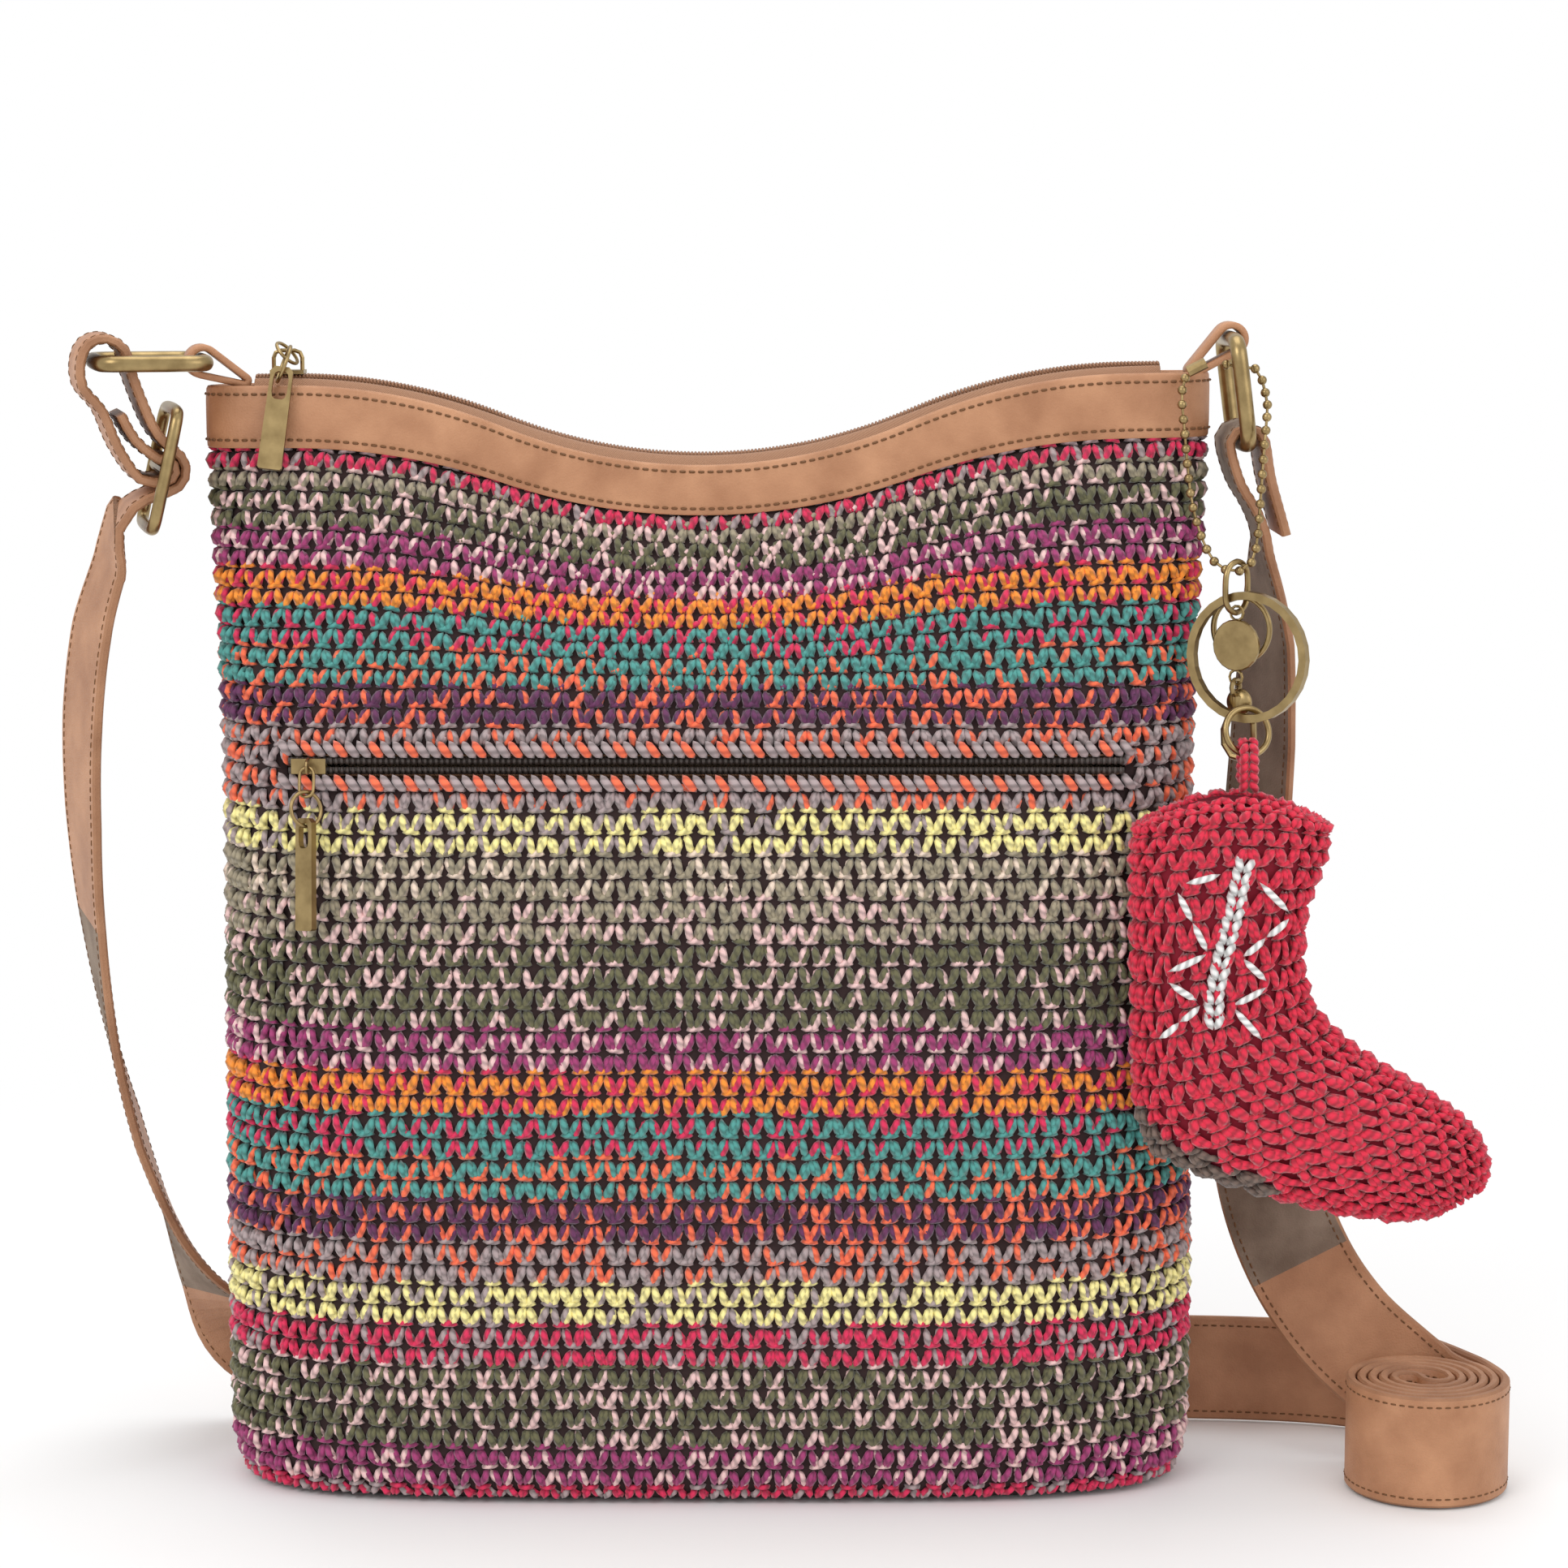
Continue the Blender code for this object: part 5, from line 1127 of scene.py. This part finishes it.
    def embroidery(self):
        """Pale outline stitches on the boot's outer side."""
        strands = Strands()
        face = BOOT_Y - 14.6 * MM
        chain, *lines = [[Vector((x, 0, z)) * MM for x, z in line] for line in EMBROIDERY]
        chain = [point + FRONT * (14.3 * MM - BOOT_Y) for point in chain]
        braid(strands, chain, [FRONT] * len(chain), 3.4 * MM, 4.6 * MM, 1.0 * MM, [0], random.Random(5))
        for a, b in lines:
            pieces = max(1, round((b - a).length / (9 * MM)))
            for i in range(pieces):
                start, end = a.lerp(b, i / pieces), a.lerp(b, (i + 1) / pieces)
                path = []
                for share, proud in ((0, -0.2), (0.25, 1.1), (0.5, 1.4), (0.75, 1.1), (1, -0.2)):
                    point = start.lerp(end, share)
                    path.append(Vector((point.x, face - proud * MM, point.z)))
                strands.add(path, FRONT, 0.95 * MM, 0.7 * MM, 0, sides=6)
        new_object("boot_embroidery", strands.mesh("boot_embroidery"), [MATERIALS["embroidery"]], "boot")


BACKDROP = (1.0, 1.0, 1.0)


def floor_material():
    """A pale floor that fades into the backdrop away from the bag."""
    material = new_material("floor", (0.9, 0.9, 0.9), 0.9)
    tree, link = material.node_tree, material.node_tree.links.new
    coords = add_node(tree, "ShaderNodeTexCoord")
    length = add_node(tree, "ShaderNodeVectorMath", operation="LENGTH")
    fade = add_node(tree, "ShaderNodeMapRange", interpolation_type="SMOOTHSTEP")
    fade.inputs["From Min"].default_value = 0.16
    fade.inputs["From Max"].default_value = 0.6
    glow = add_node(tree, "ShaderNodeEmission", Color=(*BACKDROP, 1))
    mix = add_node(tree, "ShaderNodeMixShader")
    link(coords.outputs["Object"], length.inputs[0])
    link(length.outputs["Value"], fade.inputs["Value"])
    link(fade.outputs["Result"], mix.inputs[0])
    link(shader_of(material).outputs[0], mix.inputs[1])
    link(glow.outputs[0], mix.inputs[2])
    link(mix.outputs[0], tree.nodes["Material Output"].inputs["Surface"])
    return material


def studio_world():
    """White light all round, and a backdrop that only the camera sees."""
    world = bpy.data.worlds.new("studio")
    world.use_nodes = True
    tree = world.node_tree
    lit = tree.nodes["Background"]
    lit.inputs["Color"].default_value = (1, 1, 1, 1)
    lit.inputs["Strength"].default_value = 0.85
    seen = add_node(tree, "ShaderNodeBackground", Color=(*BACKDROP, 1))
    rays = add_node(tree, "ShaderNodeLightPath")
    mix = add_node(tree, "ShaderNodeMixShader")
    tree.links.new(rays.outputs["Is Camera Ray"], mix.inputs[0])
    tree.links.new(lit.outputs[0], mix.inputs[1])
    tree.links.new(seen.outputs[0], mix.inputs[2])
    tree.links.new(mix.outputs[0], tree.nodes["World Output"].inputs["Surface"])
    return world


class BAG_OT_stage(bpy.types.Operator):
    """Make the floor, the lights and the camera"""

    bl_idname = "bag.stage"
    bl_label = "Stage"

    def execute(self, context):
        scene = context.scene
        mesh_data = bmesh.new()
        bmesh.ops.create_grid(mesh_data, x_segments=1, y_segments=1, size=6)
        mesh = mesh_of(mesh_data, "floor")
        floor = bpy.data.objects.new("floor", mesh)
        scene.collection.objects.link(floor)
        floor.location.z = -0.2 * MM
        mesh.materials.append(floor_material())
        scene.world = studio_world()
        lights = (("key", (-0.9, -1.2, 1.3), 9, 0.9), ("fill", (1.1, -0.9, 0.8), 4, 1.0),
                  ("top", (0, 0.2, 1.5), 6, 1.0))
        for name, place, power, size in lights:
            light = bpy.data.lights.new(name, "AREA")
            light.energy = power
            light.size = size
            obj = bpy.data.objects.new(name, light)
            obj.location = place
            direction = Vector((0, 0, 0.15)) - Vector(place)
            obj.rotation_euler = direction.to_track_quat("-Z", "Y").to_euler()
            scene.collection.objects.link(obj)
        camera = bpy.data.cameras.new("camera")
        camera.lens = 89.3
        camera.sensor_width = 36
        obj = bpy.data.objects.new("camera", camera)
        obj.location = (0.0215, -1.1, 0.36)
        obj.rotation_euler = (math.radians(90 - 8.2), 0, 0)
        scene.collection.objects.link(obj)
        scene.camera = obj
        scene.view_settings.view_transform = "Standard"
        return {"FINISHED"}


class BAG_PT_panel(bpy.types.Panel):
    """Sizes and colours of the bag"""

    bl_idname = "BAG_PT_panel"
    bl_label = "Crochet bag"
    bl_space_type = "VIEW_3D"
    bl_region_type = "UI"
    bl_category = "Bag"

    def draw(self, context):
        settings = context.scene.bag_settings
        for name in ("stitch_width", "thread_pitch", "leather_dark", "leather_light", "boot_red"):
            self.layout.prop(settings, name)
        for operator in OPERATORS:
            self.layout.operator(operator.bl_idname)


OPERATORS = (BAG_OT_crochet, BAG_OT_band, BAG_OT_strap, BAG_OT_zips, BAG_OT_metal, BAG_OT_boot, BAG_OT_stage)
CLASSES = (BagSettings, *OPERATORS, BAG_PT_panel)


def register():
    for cls in CLASSES:
        bpy.utils.register_class(cls)
    bpy.types.Scene.bag_settings = bpy.props.PointerProperty(type=BagSettings)


def unregister():
    del bpy.types.Scene.bag_settings
    for cls in reversed(CLASSES):
        bpy.utils.unregister_class(cls)


def main():
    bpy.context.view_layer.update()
    register()
    make_materials(bpy.context.scene.bag_settings)
    bpy.ops.bag.stage()
    bpy.ops.bag.crochet()
    bpy.ops.bag.band()
    bpy.ops.bag.strap()
    bpy.ops.bag.zips()
    bpy.ops.bag.metal()
    bpy.ops.bag.boot()
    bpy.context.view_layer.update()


if __name__ == "__main__":
    main()
